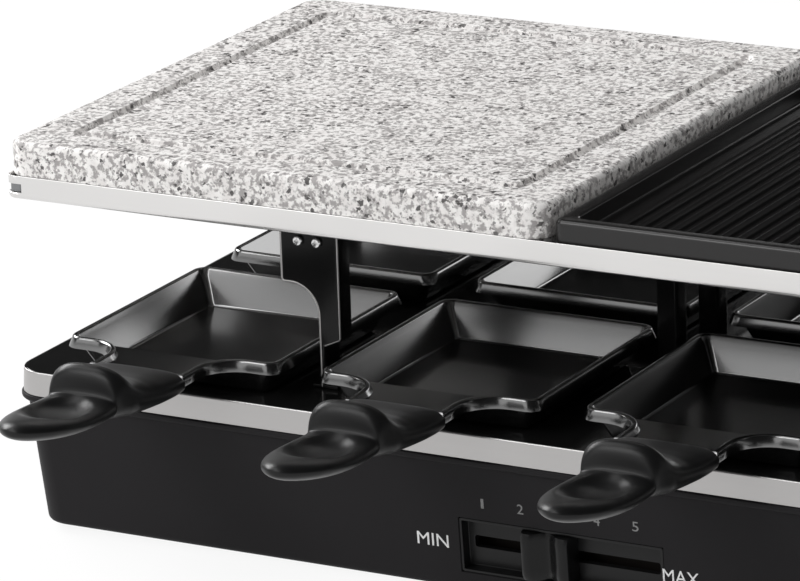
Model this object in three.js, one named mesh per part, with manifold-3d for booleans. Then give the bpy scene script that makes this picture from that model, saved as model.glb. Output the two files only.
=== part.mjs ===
// Tabletop raclette grill. A stone plate and a ribbed grill plate lie in one frame over a looped heating
// element, eight small pans slide in under it from front and back, and a low base holds the electrics.
// Millimetres. X runs along the length, Y from front to back, Z up. The origin is on the table, in the
// middle of the grill.

import * as THREE from 'three';
import { mergeVertices } from 'three/addons/utils/BufferGeometryUtils.js';
import Module from 'manifold-3d';

const wasm = await Module();
wasm.setup();

// Driving dimensions of the whole grill
const baseLength = 478;
const baseDepth = 240;
const baseHeight = 64;
const footHeight = 3;
const frameLength = 470;
const frameDepth = 240;
const frameHeight = 9.4;
const panRoom = 70.3;
const panPitch = 112;
const panWidth = 93.5;
const panDepth = 102;
const panHeight = 14.7;
const panRowGap = 23;
const handleLength = 97.5;
const handleWidth = 43;
const handleHeight = 20.7;
const stoneThickness = 16.7;
const grillThickness = 11.5;
const pansPerSide = 4;

// Fits and overruns
const fitGap = 0.3;
const runningGap = 0.6;
const overrun = 2;
const weldTolerance = 1e-4;
const cornerSteps = 5;
const smallSteps = 3;
const roundSides = 12;

// Heights that the pieces share
const deckThickness = 1.2;
const trimHeight = 10;
const deckTopZ = footHeight + baseHeight;
const trimBottomZ = deckTopZ - trimHeight;
const frameBottomZ = deckTopZ + panRoom;
const frameTopZ = frameBottomZ + frameHeight;
const ledgeDrop = 3.5;
const ledgeTopZ = frameTopZ - ledgeDrop;
const sheet = 0.9;

// Materials, one per finish
const finishes = {
  granite: { color: 0xc9c5c0, roughness: 0.55, metalness: 0 },
  nonStick: { color: 0x1d1c1b, roughness: 0.45, metalness: 0.1 },
  stainless: { color: 0xc4c3c0, roughness: 0.3, metalness: 1 },
  blackEnamel: { color: 0x0c0c0d, roughness: 0.15, metalness: 0.1 },
  blackPlastic: { color: 0x161616, roughness: 0.4, metalness: 0 },
  matteShell: { color: 0x262424, roughness: 0.55, metalness: 0 },
  zincSteel: { color: 0x9a9c9e, roughness: 0.4, metalness: 1 },
  elementSteel: { color: 0x4b4a48, roughness: 0.5, metalness: 1 },
  rubber: { color: 0x101010, roughness: 0.9, metalness: 0 },
  ceramic: { color: 0xe6e1d6, roughness: 0.6, metalness: 0 },
};

const grill = new THREE.Group();

/** Adds one named piece in one finish to a group, the whole grill unless another is given. */
function addPiece(name, finish, geometry, parent = grill) {
  const mesh = new THREE.Mesh(geometry, new THREE.MeshStandardMaterial(finishes[finish]));
  mesh.name = name;
  parent.add(mesh);
  return mesh;
}

/** Merges shared corners, so that only positions are left, and drops faces without area. */
function weld(geometry) {
  const bare = geometry.clone();
  bare.deleteAttribute('normal');
  bare.deleteAttribute('uv');
  const merged = mergeVertices(bare, weldTolerance);
  const corners = merged.index.array;
  const kept = [];
  for (let face = 0; face < corners.length; face += 3) {
    const [a, b, c] = corners.slice(face, face + 3);
    if (a !== b && b !== c && c !== a) {
      kept.push(a, b, c);
    }
  }
  merged.setIndex(kept);
  return merged;
}

/** Turns a closed geometry into a solid for joining and cutting. */
function toSolid(geometry) {
  const welded = weld(geometry);
  const vertProperties = new Float32Array(welded.attributes.position.array);
  const triVerts = new Uint32Array(welded.index.array);
  return new wasm.Manifold(new wasm.Mesh({ numProp: 3, vertProperties, triVerts }));
}

/** Turns a solid back into a geometry. */
function toGeometry(solid) {
  const mesh = solid.getMesh();
  const geometry = new THREE.BufferGeometry();
  geometry.setAttribute('position', new THREE.BufferAttribute(new Float32Array(mesh.vertProperties), 3));
  geometry.setIndex(new THREE.BufferAttribute(new Uint32Array(mesh.triVerts), 1));
  return geometry;
}

/** Joins closed geometries into one. */
function join(...geometries) {
  return toGeometry(geometries.map(toSolid).reduce((whole, next) => whole.add(next)));
}

/** Cuts every tool out of a body. */
function cut(body, ...tools) {
  return toGeometry(tools.map(toSolid).reduce((whole, tool) => whole.subtract(tool), toSolid(body)));
}

/** Keeps what two closed geometries have in common. */
function common(first, second) {
  return toGeometry(toSolid(first).intersect(toSolid(second)));
}

/** A box between two limits along each axis. */
function box(x0, x1, y0, y1, z0, z1) {
  const geometry = new THREE.BoxGeometry(x1 - x0, y1 - y0, z1 - z0);
  geometry.translate((x0 + x1) / 2, (y0 + y1) / 2, (z0 + z1) / 2);
  return geometry;
}

/** An upright round post or disc between two heights. */
function disc(radius, x, y, z0, z1, sides = roundSides) {
  const geometry = new THREE.CylinderGeometry(radius, radius, z1 - z0, sides);
  geometry.rotateX(Math.PI / 2);
  geometry.translate(x, y, (z0 + z1) / 2);
  return geometry;
}

/** A solid turned about the upright axis from [radius, height] pairs that start and end on the axis. */
function turned(profile, sides = roundSides) {
  const points = profile.map(([radius, height]) => new THREE.Vector2(radius, height));
  const geometry = new THREE.LatheGeometry(points, sides);
  geometry.rotateX(Math.PI / 2);
  return geometry;
}

/** Points round a rectangle with round corners, anticlockwise from above. */
function roundedCorners(halfX, halfY, radius, steps) {
  const points = [];
  const signs = [[1, -1], [1, 1], [-1, 1], [-1, -1]];
  signs.forEach(([signX, signY], corner) => {
    for (let step = 0; step <= steps; step += 1) {
      const angle = (corner - 1 + step / steps) * (Math.PI / 2);
      const x = signX * (halfX - radius) + radius * Math.cos(angle);
      const y = signY * (halfY - radius) + radius * Math.sin(angle);
      points.push(new THREE.Vector2(x, y));
    }
  });
  return points;
}

/** A closed skin over rings of 3-D points, all with the same count, capped at both ends. */
function skin(rings, flatten) {
  const positions = rings.flat().flatMap((point) => [point.x, point.y, point.z]);
  const count = rings[0].length;
  const faces = [];
  for (let ring = 0; ring < rings.length - 1; ring += 1) {
    for (let side = 0; side < count; side += 1) {
      const next = (side + 1) % count;
      const low = ring * count;
      const high = low + count;
      faces.push(low + side, low + next, high + next);
      faces.push(low + side, high + next, high + side);
    }
  }
  const cap = THREE.ShapeUtils.triangulateShape(rings[0].map(flatten), []);
  const last = (rings.length - 1) * count;
  cap.forEach(([a, b, c]) => faces.push(a, c, b));
  cap.forEach(([a, b, c]) => faces.push(last + a, last + b, last + c));
  const geometry = new THREE.BufferGeometry();
  geometry.setAttribute('position', new THREE.Float32BufferAttribute(positions, 3));
  geometry.setIndex(faces);
  return geometry;
}

/** A block with round upright corners whose outline may change from height to height. */
function block(levels, steps = cornerSteps) {
  const rings = levels.map(({ halfX, halfY, radius, z }) =>
    roundedCorners(halfX, halfY, radius, steps).map((point) => new THREE.Vector3(point.x, point.y, z)));
  return skin(rings, (point) => new THREE.Vector2(point.x, point.y));
}

/** A straight-sided block with round upright corners. */
function slab(halfX, halfY, radius, z0, z1, steps = cornerSteps) {
  const outline = { halfX, halfY, radius };
  return block([{ ...outline, z: z0 }, { ...outline, z: z1 }], steps);
}

/** An upright extrusion of a shape between two heights. */
function raised(shape, z0, z1, curveSegments = smallSteps) {
  const geometry = new THREE.ExtrudeGeometry(shape, { depth: z1 - z0, bevelEnabled: false, curveSegments });
  geometry.translate(0, 0, z0);
  return geometry;
}

/** A path through given points that is stepped point by point. */
class PointPath extends THREE.Curve {
  constructor(points) {
    super();
    this.points = points;
  }

  getPoint(share) {
    const place = share * (this.points.length - 1);
    const index = Math.min(Math.floor(place), this.points.length - 2);
    return this.points[index].clone().lerp(this.points[index + 1], place - index);
  }

  getUtoTmapping(share) {
    return share;
  }
}

/** A round bar along a list of points. */
function bar(points, radius, sides) {
  const section = new THREE.Shape();
  for (let side = 0; side < sides; side += 1) {
    const angle = (side / sides) * 2 * Math.PI;
    const corner = new THREE.Vector2(radius * Math.cos(angle), radius * Math.sin(angle));
    if (side === 0) {
      section.moveTo(corner.x, corner.y);
    } else {
      section.lineTo(corner.x, corner.y);
    }
  }
  section.closePath();
  const extrudePath = new PointPath(points);
  return new THREE.ExtrudeGeometry(section, { steps: points.length - 1, extrudePath });
}

/** Points of an arc that turns a level path by half a circle or less. */
function arcPoints(centreX, centreY, z, radius, startAngle, sweep, steps) {
  const points = [];
  for (let step = 0; step <= steps; step += 1) {
    const angle = startAngle + (sweep * step) / steps;
    points.push(new THREE.Vector3(centreX + radius * Math.cos(angle), centreY + radius * Math.sin(angle), z));
  }
  return points;
}

// Base shell: a tapered casing with a lip, and a neck above it that the trim band wraps
const shellWall = 2.4;
const shellStep = 2.3;
const shellTaper = 4.2;
const shellSlope = shellTaper / (trimBottomZ - footHeight);
const shellCorner = 12;
const lipProud = 0.8;
const lipHeight = 3;
const trimSheet = 1;
const trimDraft = 0.5;
const neckWall = 3;
const neckHalfX = baseLength / 2 - lipProud - trimSheet - fitGap;
const neckHalfY = baseDepth / 2 - lipProud - trimSheet - fitGap;
const neckCorner = shellCorner + shellStep - lipProud - trimSheet - fitGap;
const shellTopZ = deckTopZ - deckThickness - fitGap;
const shellBottomZ = footHeight;
const coverRecess = 1;
const coverThickness = 2;

/** The tapered outside of the shell, moved inwards by an inset. */
function shellOutline(inset, z0, z1) {
  const level = (z) => {
    const drawn = shellStep + (trimBottomZ - z) * shellSlope + inset;
    const radius = shellCorner - inset;
    return { halfX: baseLength / 2 - drawn, halfY: baseDepth / 2 - drawn, radius, z };
  };
  return block([level(z0), level(z1)]);
}

// Control panel at the front: a recess with a slit, and the knob that runs in it
const windowWidth = 86;
const windowHeight = 22.6;
const windowCentreZ = 21.4;
const recessDepth = 5;
const slitHeight = 4.5;
const slitMargin = 3;
const knobWidth = 21;
const knobHeight = 19;
const knobRestX = -5.6;
const knobProud = 3.4;
const knobRidgeShare = 0.3;
const knobDipShare = 0.45;
const panelY = -baseDepth / 2 + shellStep + (trimBottomZ - windowCentreZ) * shellSlope;
const recessFloorY = panelY + recessDepth;
const bezelBack = 2.4;
const bezelBackY = recessFloorY + bezelBack;
const bezelLip = 4;
const windowHalf = windowWidth / 2;
const windowLowZ = windowCentreZ - windowHeight / 2;
const windowHighZ = windowCentreZ + windowHeight / 2;
const knobStemHalfX = 4;

// Inlet bush in the back wall
const bushInset = 61;
const bushX = baseLength / 2 - bushInset;
const bushZ = 24;
const bushHole = 6;
const bushFlange = 8.5;
const bushBore = 3.6;
const bushFlangeDepth = 2.2;

// Screw bosses and feet share these places
const bossRadius = 4.5;
const bossInset = 21;
const bossHeight = 30;
const bossRows = [-1, 1];
const bossColumns = [-1, 1];
const pilotRadius = 1.6;
const footRadius = 9;
const footEdge = 0.75;
const footInset = 40;
const footStemRadius = 2.6;
const screwHeadRadius = 3.2;
const screwHeadHeight = 1.6;

/** Calls back with the place of every base screw. */
function bossPlaces() {
  const reachX = baseLength / 2 - bossInset;
  const reachY = baseDepth / 2 - bossInset;
  return bossRows.flatMap((row) => bossColumns.map((side) => ({ x: side * reachX, y: row * reachY })));
}

function baseShell() {
  const lower = shellOutline(0, shellBottomZ, trimBottomZ);
  const neck = slab(neckHalfX, neckHalfY, neckCorner, trimBottomZ - fitGap, shellTopZ);
  const lipOutline = { halfX: baseLength / 2, halfY: baseDepth / 2, radius: shellCorner + shellStep };
  const lip = block([
    {
      halfX: baseLength / 2 - shellStep,
      halfY: baseDepth / 2 - shellStep,
      radius: shellCorner,
      z: trimBottomZ - lipHeight,
    },
    { ...lipOutline, z: trimBottomZ - lipHeight / 2 },
    { ...lipOutline, z: trimBottomZ },
  ]);
  const hollow = shellOutline(shellWall, shellBottomZ - overrun, trimBottomZ + fitGap);
  const neckHollow = slab(
    neckHalfX - neckWall, neckHalfY - neckWall, neckCorner - neckWall,
    trimBottomZ - fitGap, shellTopZ + overrun,
  );
  const bossBottomZ = shellBottomZ + coverRecess + coverThickness + fitGap;
  const bossTopZ = bossBottomZ + bossHeight;
  const bosses = bossPlaces().map(({ x, y }) =>
    disc(bossRadius, x, y, bossBottomZ, bossTopZ, roundSides / 2));
  const webs = bossPlaces().map(({ x, y }) => {
    const outerY = Math.sign(y) * (baseDepth / 2 - shellStep - shellTaper - shellWall / 2);
    const half = shellWall / 2;
    return box(x - half, x + half, Math.min(y, outerY), Math.max(y, outerY), bossBottomZ, bossTopZ);
  });
  const pilots = bossPlaces().map(({ x, y }) =>
    disc(pilotRadius, x, y, bossBottomZ - overrun, bossTopZ - overrun, roundSides / 2));
  const openWindow = box(
    -windowHalf, windowHalf, -baseDepth / 2, recessFloorY + shellWall, windowLowZ, windowHighZ,
  );
  const inlet = new THREE.CylinderGeometry(bushHole, bushHole, baseDepth / 2, roundSides);
  inlet.translate(bushX, baseDepth / 2, bushZ);
  const hollowed = cut(join(lower, lip, neck), hollow, neckHollow, openWindow, inlet);
  return cut(join(hollowed, ...bosses, ...webs), ...pilots);
}

function trimBand() {
  const radius = shellCorner + shellStep - lipProud;
  const halfX = baseLength / 2 - lipProud;
  const halfY = baseDepth / 2 - lipProud;
  const outside = block([
    { halfX, halfY, radius, z: trimBottomZ + fitGap },
    { halfX: halfX - trimDraft, halfY: halfY - trimDraft, radius, z: deckTopZ },
  ]);
  const inside = slab(
    neckHalfX + fitGap, neckHalfY + fitGap, neckCorner + fitGap, trimBottomZ - overrun, deckTopZ + overrun,
  );
  return cut(outside, inside);
}

// Centre posts: square tubes that carry the cold ends of the element down into the base
const postSide = 9;
const postBore = 7;
const postSpacing = 36;
const postHeight = 46;
const postFlange = 3;
const postFlangeHeight = 1.4;
const postY = postSpacing / 2;

function deckPlate() {
  const plate = slab(neckHalfX, neckHalfY, neckCorner, deckTopZ - deckThickness, deckTopZ);
  const half = postBore / 2;
  const holes = [-postY, postY].map((y) =>
    box(-half, half, y - half, y + half, deckTopZ - deckThickness - overrun, deckTopZ + overrun));
  return cut(plate, ...holes);
}

// Heat shield: a bright sheet under the deck, held off it by pressed studs
const shieldMargin = 14;
const shieldDrop = 6;
const studRadius = 4;
const studReachShare = 0.8;

function heatShield() {
  const halfX = neckHalfX - shieldMargin;
  const halfY = neckHalfY - shieldMargin;
  const topZ = deckTopZ - deckThickness - shieldDrop;
  const plate = slab(halfX, halfY, neckCorner, topZ - sheet, topZ);
  const studTopZ = deckTopZ - deckThickness - fitGap;
  const studs = bossRows.flatMap((row) => bossRows.map((side) =>
    disc(studRadius, side * halfX * studReachShare, row * halfY * studReachShare, topZ - sheet / 2, studTopZ,
      roundSides / 2)));
  const half = postBore / 2 + runningGap;
  const holes = [-postY, postY].map((y) =>
    box(-half, half, y - half, y + half, topZ - sheet - overrun, topZ + overrun));
  return cut(join(plate, ...studs), ...holes);
}

/** One square post, standing on the deck at the given Y. */
function elementPost(y) {
  const bottomZ = deckTopZ + fitGap;
  const half = postSide / 2;
  const flangeHalf = half + postFlange;
  const body = box(-half, half, y - half, y + half, bottomZ, bottomZ + postHeight);
  const flange = box(-half, half, y - flangeHalf, y + flangeHalf, bottomZ, bottomZ + postFlangeHeight);
  const bore = postBore / 2;
  const hole = box(-bore, bore, y - bore, y + bore, bottomZ - overrun, bottomZ + postHeight + overrun);
  return cut(join(body, flange), hole);
}

// Heating element: one tube, looped under both plates, with its two ends down the posts
const elementRadius = 3.2;
const elementDrop = 9.3;
const elementReachX = 195;
const elementTurn = 20;
const elementMiddleX = 40;
const elementBend = 11;
const elementEndDepth = 20;
const elementZ = frameBottomZ - elementDrop;
const elementSides = 8;
const elementTurnSteps = 8;
const elementBendSteps = 4;
const elementOuterY = postY + 2 * elementTurn;

function heatingElement() {
  const endZ = deckTopZ - elementEndDepth;
  const half = Math.PI / 2;
  const bendUp = (y) => {
    const points = [];
    for (let step = 0; step <= elementBendSteps; step += 1) {
      const angle = (step / elementBendSteps) * half;
      const x = -elementBend * (1 - Math.cos(angle));
      points.push(new THREE.Vector3(x, y, elementZ - elementBend + elementBend * Math.sin(angle)));
    }
    return points;
  };
  const turn = (x, y, radius, start, sweep) =>
    arcPoints(x, y, elementZ, radius, start, sweep, elementTurnSteps);
  const nearRow = -postY - elementTurn;
  const farRow = postY + elementTurn;
  const points = [
    new THREE.Vector3(0, -postY, endZ),
    ...bendUp(-postY),
    ...turn(-elementReachX, nearRow, elementTurn, half, Math.PI),
    ...turn(elementReachX, nearRow, elementTurn, -half, Math.PI),
    ...turn(elementMiddleX, 0, postY, -half, -Math.PI),
    ...turn(elementReachX, farRow, elementTurn, -half, Math.PI),
    ...turn(-elementReachX, farRow, elementTurn, half, Math.PI),
    ...bendUp(postY).reverse(),
    new THREE.Vector3(0, postY, endZ),
  ];
  return bar(points, elementRadius, elementSides);
}

// Top frame: a stainless band with a turned-in foot, and a ledge inside that the plates rest on
const frameCorner = 4;
const frameFoot = 4;
const ledgeWidth = 11;
const slotReach = 7.4;
const slotHeight = 3.6;
const slotLift = 2.6;
const ledgeInset = frameFoot + ledgeWidth;

/** A flat ring that follows the frame, from one inset to another, between two heights. */
function frameRing(outerInset, innerInset, z0, z1) {
  const radiusAt = (inset) => Math.max(frameCorner - inset, sheet);
  const outside = slab(
    frameLength / 2 - outerInset, frameDepth / 2 - outerInset, radiusAt(outerInset), z0, z1, smallSteps,
  );
  const inside = slab(
    frameLength / 2 - innerInset, frameDepth / 2 - innerInset, radiusAt(innerInset),
    z0 - overrun, z1 + overrun, smallSteps,
  );
  return cut(outside, inside);
}

/** The blocks at the four frame corners that cut the slots where the band is folded. */
function cornerSlots() {
  const z0 = frameBottomZ + slotLift;
  const z1 = z0 + slotHeight;
  return bossRows.flatMap((row) => [-1, 1].map((side) => {
    const outerX = side * (frameLength / 2 + overrun);
    const innerX = side * (frameLength / 2 - slotReach);
    const outerY = row * (frameDepth / 2 + overrun);
    const innerY = row * (frameDepth / 2 - slotReach);
    return box(
      Math.min(innerX, outerX), Math.max(innerX, outerX), Math.min(innerY, outerY), Math.max(innerY, outerY),
      z0, z1,
    );
  }));
}

function topFrame() {
  const band = frameRing(0, sheet, frameBottomZ, frameTopZ);
  const foot = frameRing(0, frameFoot + sheet, frameBottomZ, frameBottomZ + sheet);
  const riser = frameRing(frameFoot, frameFoot + sheet, frameBottomZ, ledgeTopZ);
  const ledge = frameRing(frameFoot, ledgeInset, ledgeTopZ - sheet, ledgeTopZ);
  return join(cut(band, ...cornerSlots()), foot, riser, ledge);
}

// Cross rails under the ledge, which the legs are screwed to, and the bar under the joint of the plates
const legX = panPitch;
const railWidth = 24;
const railThickness = 1.5;
const railTopZ = ledgeTopZ - sheet - fitGap;
const railReachY = frameDepth / 2 - frameFoot - sheet - runningGap;
const legInset = 28;
const legFrontY = baseDepth / 2 - legInset;
const legSheet = 2.2;
const legInner = 7.5;
const padOuter = 17.8;
const lugY = legFrontY - legSheet - fitGap;
const lugThickness = 1.5;
const lugDrop = 22;
const legScrewDrop = 17.5;
const legScrewShares = [0.26, 0.62];
const legScrewRadius = 1.4;
const legScrewHead = 2.6;
const legScrewHeadHeight = 1.9;
const lugInnerOffset = legSheet + runningGap - legInner;

/** X of each leg screw, counted outwards from the middle of the leg. */
function legScrewOffsets() {
  return legScrewShares.map((share) => lugInnerOffset + share * (padOuter - lugInnerOffset));
}

/** A level cylinder along Y, used for leg screws and their holes. */
function levelDisc(radius, x, z, y0, y1, sides = roundSides / 2) {
  const geometry = new THREE.CylinderGeometry(radius, radius, y1 - y0, sides);
  geometry.translate(x, (y0 + y1) / 2, z);
  return geometry;
}

/** One cross rail, for the side given by its sign. */
function crossRail(side) {
  const x = side * legX;
  const halfWidth = railWidth / 2;
  const lowZ = railTopZ - railThickness;
  const strip = box(x - halfWidth, x + halfWidth, -railReachY, railReachY, lowZ, railTopZ);
  const lugs = bossRows.map((row) => {
    const near = x + side * lugInnerOffset;
    const far = x + side * (padOuter - fitGap);
    const outer = row * lugY;
    const inner = row * (lugY - lugThickness);
    return box(
      Math.min(near, far), Math.max(near, far), Math.min(outer, inner), Math.max(outer, inner),
      railTopZ - lugDrop, railTopZ - railThickness / 2,
    );
  });
  const holes = bossRows.flatMap((row) => {
    const ends = [row * legFrontY, row * (lugY - lugThickness - overrun)];
    return legScrewOffsets().map((offset) => levelDisc(
      legScrewRadius + fitGap, x + side * offset, railTopZ - legScrewDrop,
      Math.min(...ends), Math.max(...ends),
    ));
  });
  return cut(join(strip, ...lugs), ...holes);
}

const barWidth = 12;
const barDrop = 4.2;
const plateSplitX = 3.5;

function crossBar() {
  const half = barWidth / 2;
  const reach = frameDepth / 2 - ledgeInset - fitGap;
  const tabTopZ = railTopZ;
  const body = box(plateSplitX - half, plateSplitX + half, -reach, reach, ledgeTopZ - barDrop, ledgeTopZ);
  const tabs = box(
    plateSplitX - half, plateSplitX + half, -railReachY, railReachY, tabTopZ - railThickness, tabTopZ,
  );
  return join(body, tabs);
}

// Legs: pressed brackets with a wide pad for the screws, a flange down each side, and a narrow foot
const padHeight = 32;
const padRadius = 11;
const stemOuter = 1.8;
const tongueWidth = 2.4;
const cutLift = 17;
const cutRise = 3;
const outerFlangeDepth = 12;
const innerFlangeDepth = 9.5;
const legFootHalf = 5.5;
const legFootDepth = 15;
const legFootHeight = 1.4;

/** The outline of a leg seen from the front, with the wide side of its pad to the right. */
function legOutline(bottomZ, topZ) {
  const padBottomZ = topZ - padHeight;
  const cutZ = deckTopZ + cutLift;
  const tongueInner = stemOuter - tongueWidth;
  const outline = new THREE.Shape();
  outline.moveTo(tongueInner, bottomZ);
  outline.lineTo(stemOuter, bottomZ);
  outline.lineTo(stemOuter, padBottomZ - padRadius);
  outline.absarc(stemOuter + padRadius, padBottomZ - padRadius, padRadius, Math.PI, Math.PI / 2, true);
  outline.lineTo(padOuter, padBottomZ);
  outline.lineTo(padOuter, topZ);
  outline.lineTo(-legInner, topZ);
  outline.lineTo(-legInner, cutZ + cutRise);
  outline.lineTo(tongueInner, cutZ);
  outline.closePath();
  return outline;
}

/** One leg at the middle of its place, wide side to +X, its front face towards -Y. */
function legSolid() {
  const bottomZ = deckTopZ + fitGap;
  const topZ = railTopZ - railThickness - fitGap;
  const face = new THREE.ExtrudeGeometry(
    legOutline(bottomZ, topZ), { depth: legSheet, bevelEnabled: false, curveSegments: cornerSteps },
  );
  face.rotateX(Math.PI / 2);
  face.translate(0, legSheet - legFrontY, 0);
  const startY = legSheet / 2 - legFrontY;
  const outerFlange = box(
    stemOuter - legSheet, stemOuter, startY, outerFlangeDepth - legFrontY, bottomZ, topZ - padHeight,
  );
  const innerFlange = box(
    -legInner, legSheet - legInner, startY, innerFlangeDepth - legFrontY, deckTopZ + cutLift + cutRise, topZ,
  );
  const foot = box(
    -legFootHalf, legFootHalf, -legFrontY, legFootDepth - legFrontY, bottomZ, bottomZ + legFootHeight,
  );
  const holes = legScrewOffsets().map((offset) => levelDisc(
    legScrewRadius + fitGap, offset, railTopZ - legScrewDrop,
    -legFrontY - overrun, legSheet - legFrontY + overrun,
  ));
  return cut(join(face, outerFlange, innerFlange, foot), ...holes);
}

/** One leg moved to its corner: mirrored shapes are turned, so their faces keep pointing out. */
function legAt(side, row) {
  const solid = toSolid(legSolid());
  const mirrored = side * row > 0 ? solid.mirror([1, 0, 0]) : solid;
  const geometry = toGeometry(mirrored);
  if (row > 0) {
    geometry.rotateZ(Math.PI);
  }
  geometry.translate(side * legX, 0, 0);
  return geometry;
}

/** One leg screw, its head on the outer face of the leg at the given side, row and offset. */
function legScrew(side, row, offset) {
  const x = side * (legX + offset);
  const z = railTopZ - legScrewDrop;
  const seatY = legFrontY + fitGap;
  const headY = row * (seatY + legScrewHeadHeight);
  const tipY = row * (lugY - lugThickness - overrun);
  const head = levelDisc(legScrewHead, x, z, Math.min(row * seatY, headY), Math.max(row * seatY, headY));
  const shank = levelDisc(legScrewRadius, x, z, Math.min(headY, tipY), Math.max(headY, tipY));
  return join(head, shank);
}

// Hangers that carry the element under the rails: a strap with an eye round every run of the tube
const hangerThickness = 1.4;
const hangerWidth = 5;

/** One hanger under the rail of the given side. */
function elementHanger(side) {
  const x = side * legX;
  const half = hangerWidth / 2;
  const inner = elementRadius + fitGap;
  const outer = inner + hangerThickness;
  const strapTopZ = railTopZ - railThickness - fitGap;
  const rows = [-elementOuterY, -postY, postY, elementOuterY];
  const strap = box(
    x - half, x + half, -elementOuterY - outer, elementOuterY + outer, strapTopZ - hangerThickness, strapTopZ,
  );
  const drops = rows.map((y) => box(
    x - half, x + half, y - hangerThickness / 2, y + hangerThickness / 2, elementZ + elementRadius,
    strapTopZ - hangerThickness / 2,
  ));
  const along = (radius, y, length) => {
    const geometry = new THREE.CylinderGeometry(radius, radius, length, roundSides);
    geometry.rotateZ(Math.PI / 2);
    geometry.translate(x, y, elementZ);
    return geometry;
  };
  const eyes = rows.map((y) => along(outer, y, hangerWidth));
  const bores = rows.map((y) => along(inner, y, hangerWidth + overrun));
  return cut(join(strap, ...drops, ...eyes), ...bores);
}

// Plates: both are set in the frame with a play, and meet over the cross bar
const platePlay = 0.7;
const plateGap = 3.6;
const plateHalfY = frameDepth / 2 - sheet - platePlay;
const plateEndX = frameLength / 2 - sheet - platePlay;
const plateBottomZ = ledgeTopZ + fitGap;
const stoneCorner = 5;
const stoneEdge = 2.4;
const grooveInset = 17;
const grooveWidth = 5;
const grooveDepth = 2.4;
const grooveCorner = 6;

function stonePlate() {
  const halfX = (plateEndX + plateSplitX - plateGap / 2) / 2;
  const topZ = plateBottomZ + stoneThickness;
  const outline = { halfX, halfY: plateHalfY, radius: stoneCorner };
  const body = block([
    { ...outline, z: plateBottomZ },
    { ...outline, z: topZ - stoneEdge },
    { halfX: halfX - stoneEdge, halfY: plateHalfY - stoneEdge, radius: stoneCorner - stoneEdge, z: topZ },
  ]);
  const outer = slab(
    halfX - grooveInset, plateHalfY - grooveInset, grooveCorner, topZ - grooveDepth, topZ + overrun,
  );
  const island = grooveInset + grooveWidth;
  const inner = slab(
    halfX - island, plateHalfY - island, grooveCorner / 2, topZ - grooveDepth - overrun, topZ + 2 * overrun,
  );
  const geometry = cut(body, cut(outer, inner));
  geometry.translate(halfX - plateEndX, 0, 0);
  return geometry;
}

const grillCorner = 7;
const grillRim = 5.5;
const grillRimSlope = 3;
const grillFloor = 4;
const ribPitch = 6.8;
const ribBase = 3;
const ribTop = 1.6;
const ribHeight = 2;
const ribMargin = 9;
const ribSideMargin = 5;

function grillPlate() {
  const startX = plateSplitX + plateGap / 2;
  const halfX = (plateEndX - startX) / 2;
  const topZ = plateBottomZ + grillThickness;
  const floorZ = plateBottomZ + grillFloor;
  const body = slab(halfX, plateHalfY, grillCorner, plateBottomZ, topZ);
  const rimTop = grillRim / 2;
  const floorInset = grillRim + grillRimSlope;
  const tray = block([
    { halfX: halfX - floorInset, halfY: plateHalfY - floorInset, radius: grillCorner - rimTop, z: floorZ },
    { halfX: halfX - grillRim, halfY: plateHalfY - grillRim, radius: grillCorner, z: topZ - rimTop / 2 },
    { halfX: halfX - rimTop, halfY: plateHalfY - rimTop, radius: grillCorner - rimTop, z: topZ },
    { halfX: halfX - rimTop, halfY: plateHalfY - rimTop, radius: grillCorner - rimTop, z: topZ + overrun },
  ]);
  const ribReachY = plateHalfY - floorInset - ribMargin;
  const ribCount = Math.floor(2 * (halfX - floorInset - ribSideMargin) / ribPitch) + 1;
  const ribs = [];
  for (let rib = 0; rib < ribCount; rib += 1) {
    const x = (rib - (ribCount - 1) / 2) * ribPitch;
    const section = new THREE.Shape();
    section.moveTo(x - ribBase / 2, floorZ - grillFloor / 2);
    section.lineTo(x + ribBase / 2, floorZ - grillFloor / 2);
    section.lineTo(x + ribBase / 2, floorZ);
    section.lineTo(x + ribTop / 2, floorZ + ribHeight);
    section.lineTo(x - ribTop / 2, floorZ + ribHeight);
    section.lineTo(x - ribBase / 2, floorZ);
    section.closePath();
    const geometry = new THREE.ExtrudeGeometry(section, { depth: 2 * ribReachY, bevelEnabled: false });
    geometry.rotateX(Math.PI / 2);
    geometry.translate(0, ribReachY, 0);
    ribs.push(geometry);
  }
  const geometry = join(cut(body, tray), ...ribs);
  geometry.translate(startX + halfX, 0, 0);
  return geometry;
}

// Pans: pressed sheet with a rolled rim, and a neck that the handle grips
const panSheet = 1;
const panCorner = 6;
const rimWidth = 2.6;
const rimDepth = 3;
const wallInset = 1.3;
const wallLean = 3.2;
const neckHalf = 21;
const neckFillet = 14;
const neckReach = 28;
const tongueHalf = 15;
const tongueReach = 13;
const panFrontY = -panDepth / 2;
const panBottomZ = deckTopZ + fitGap;

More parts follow.
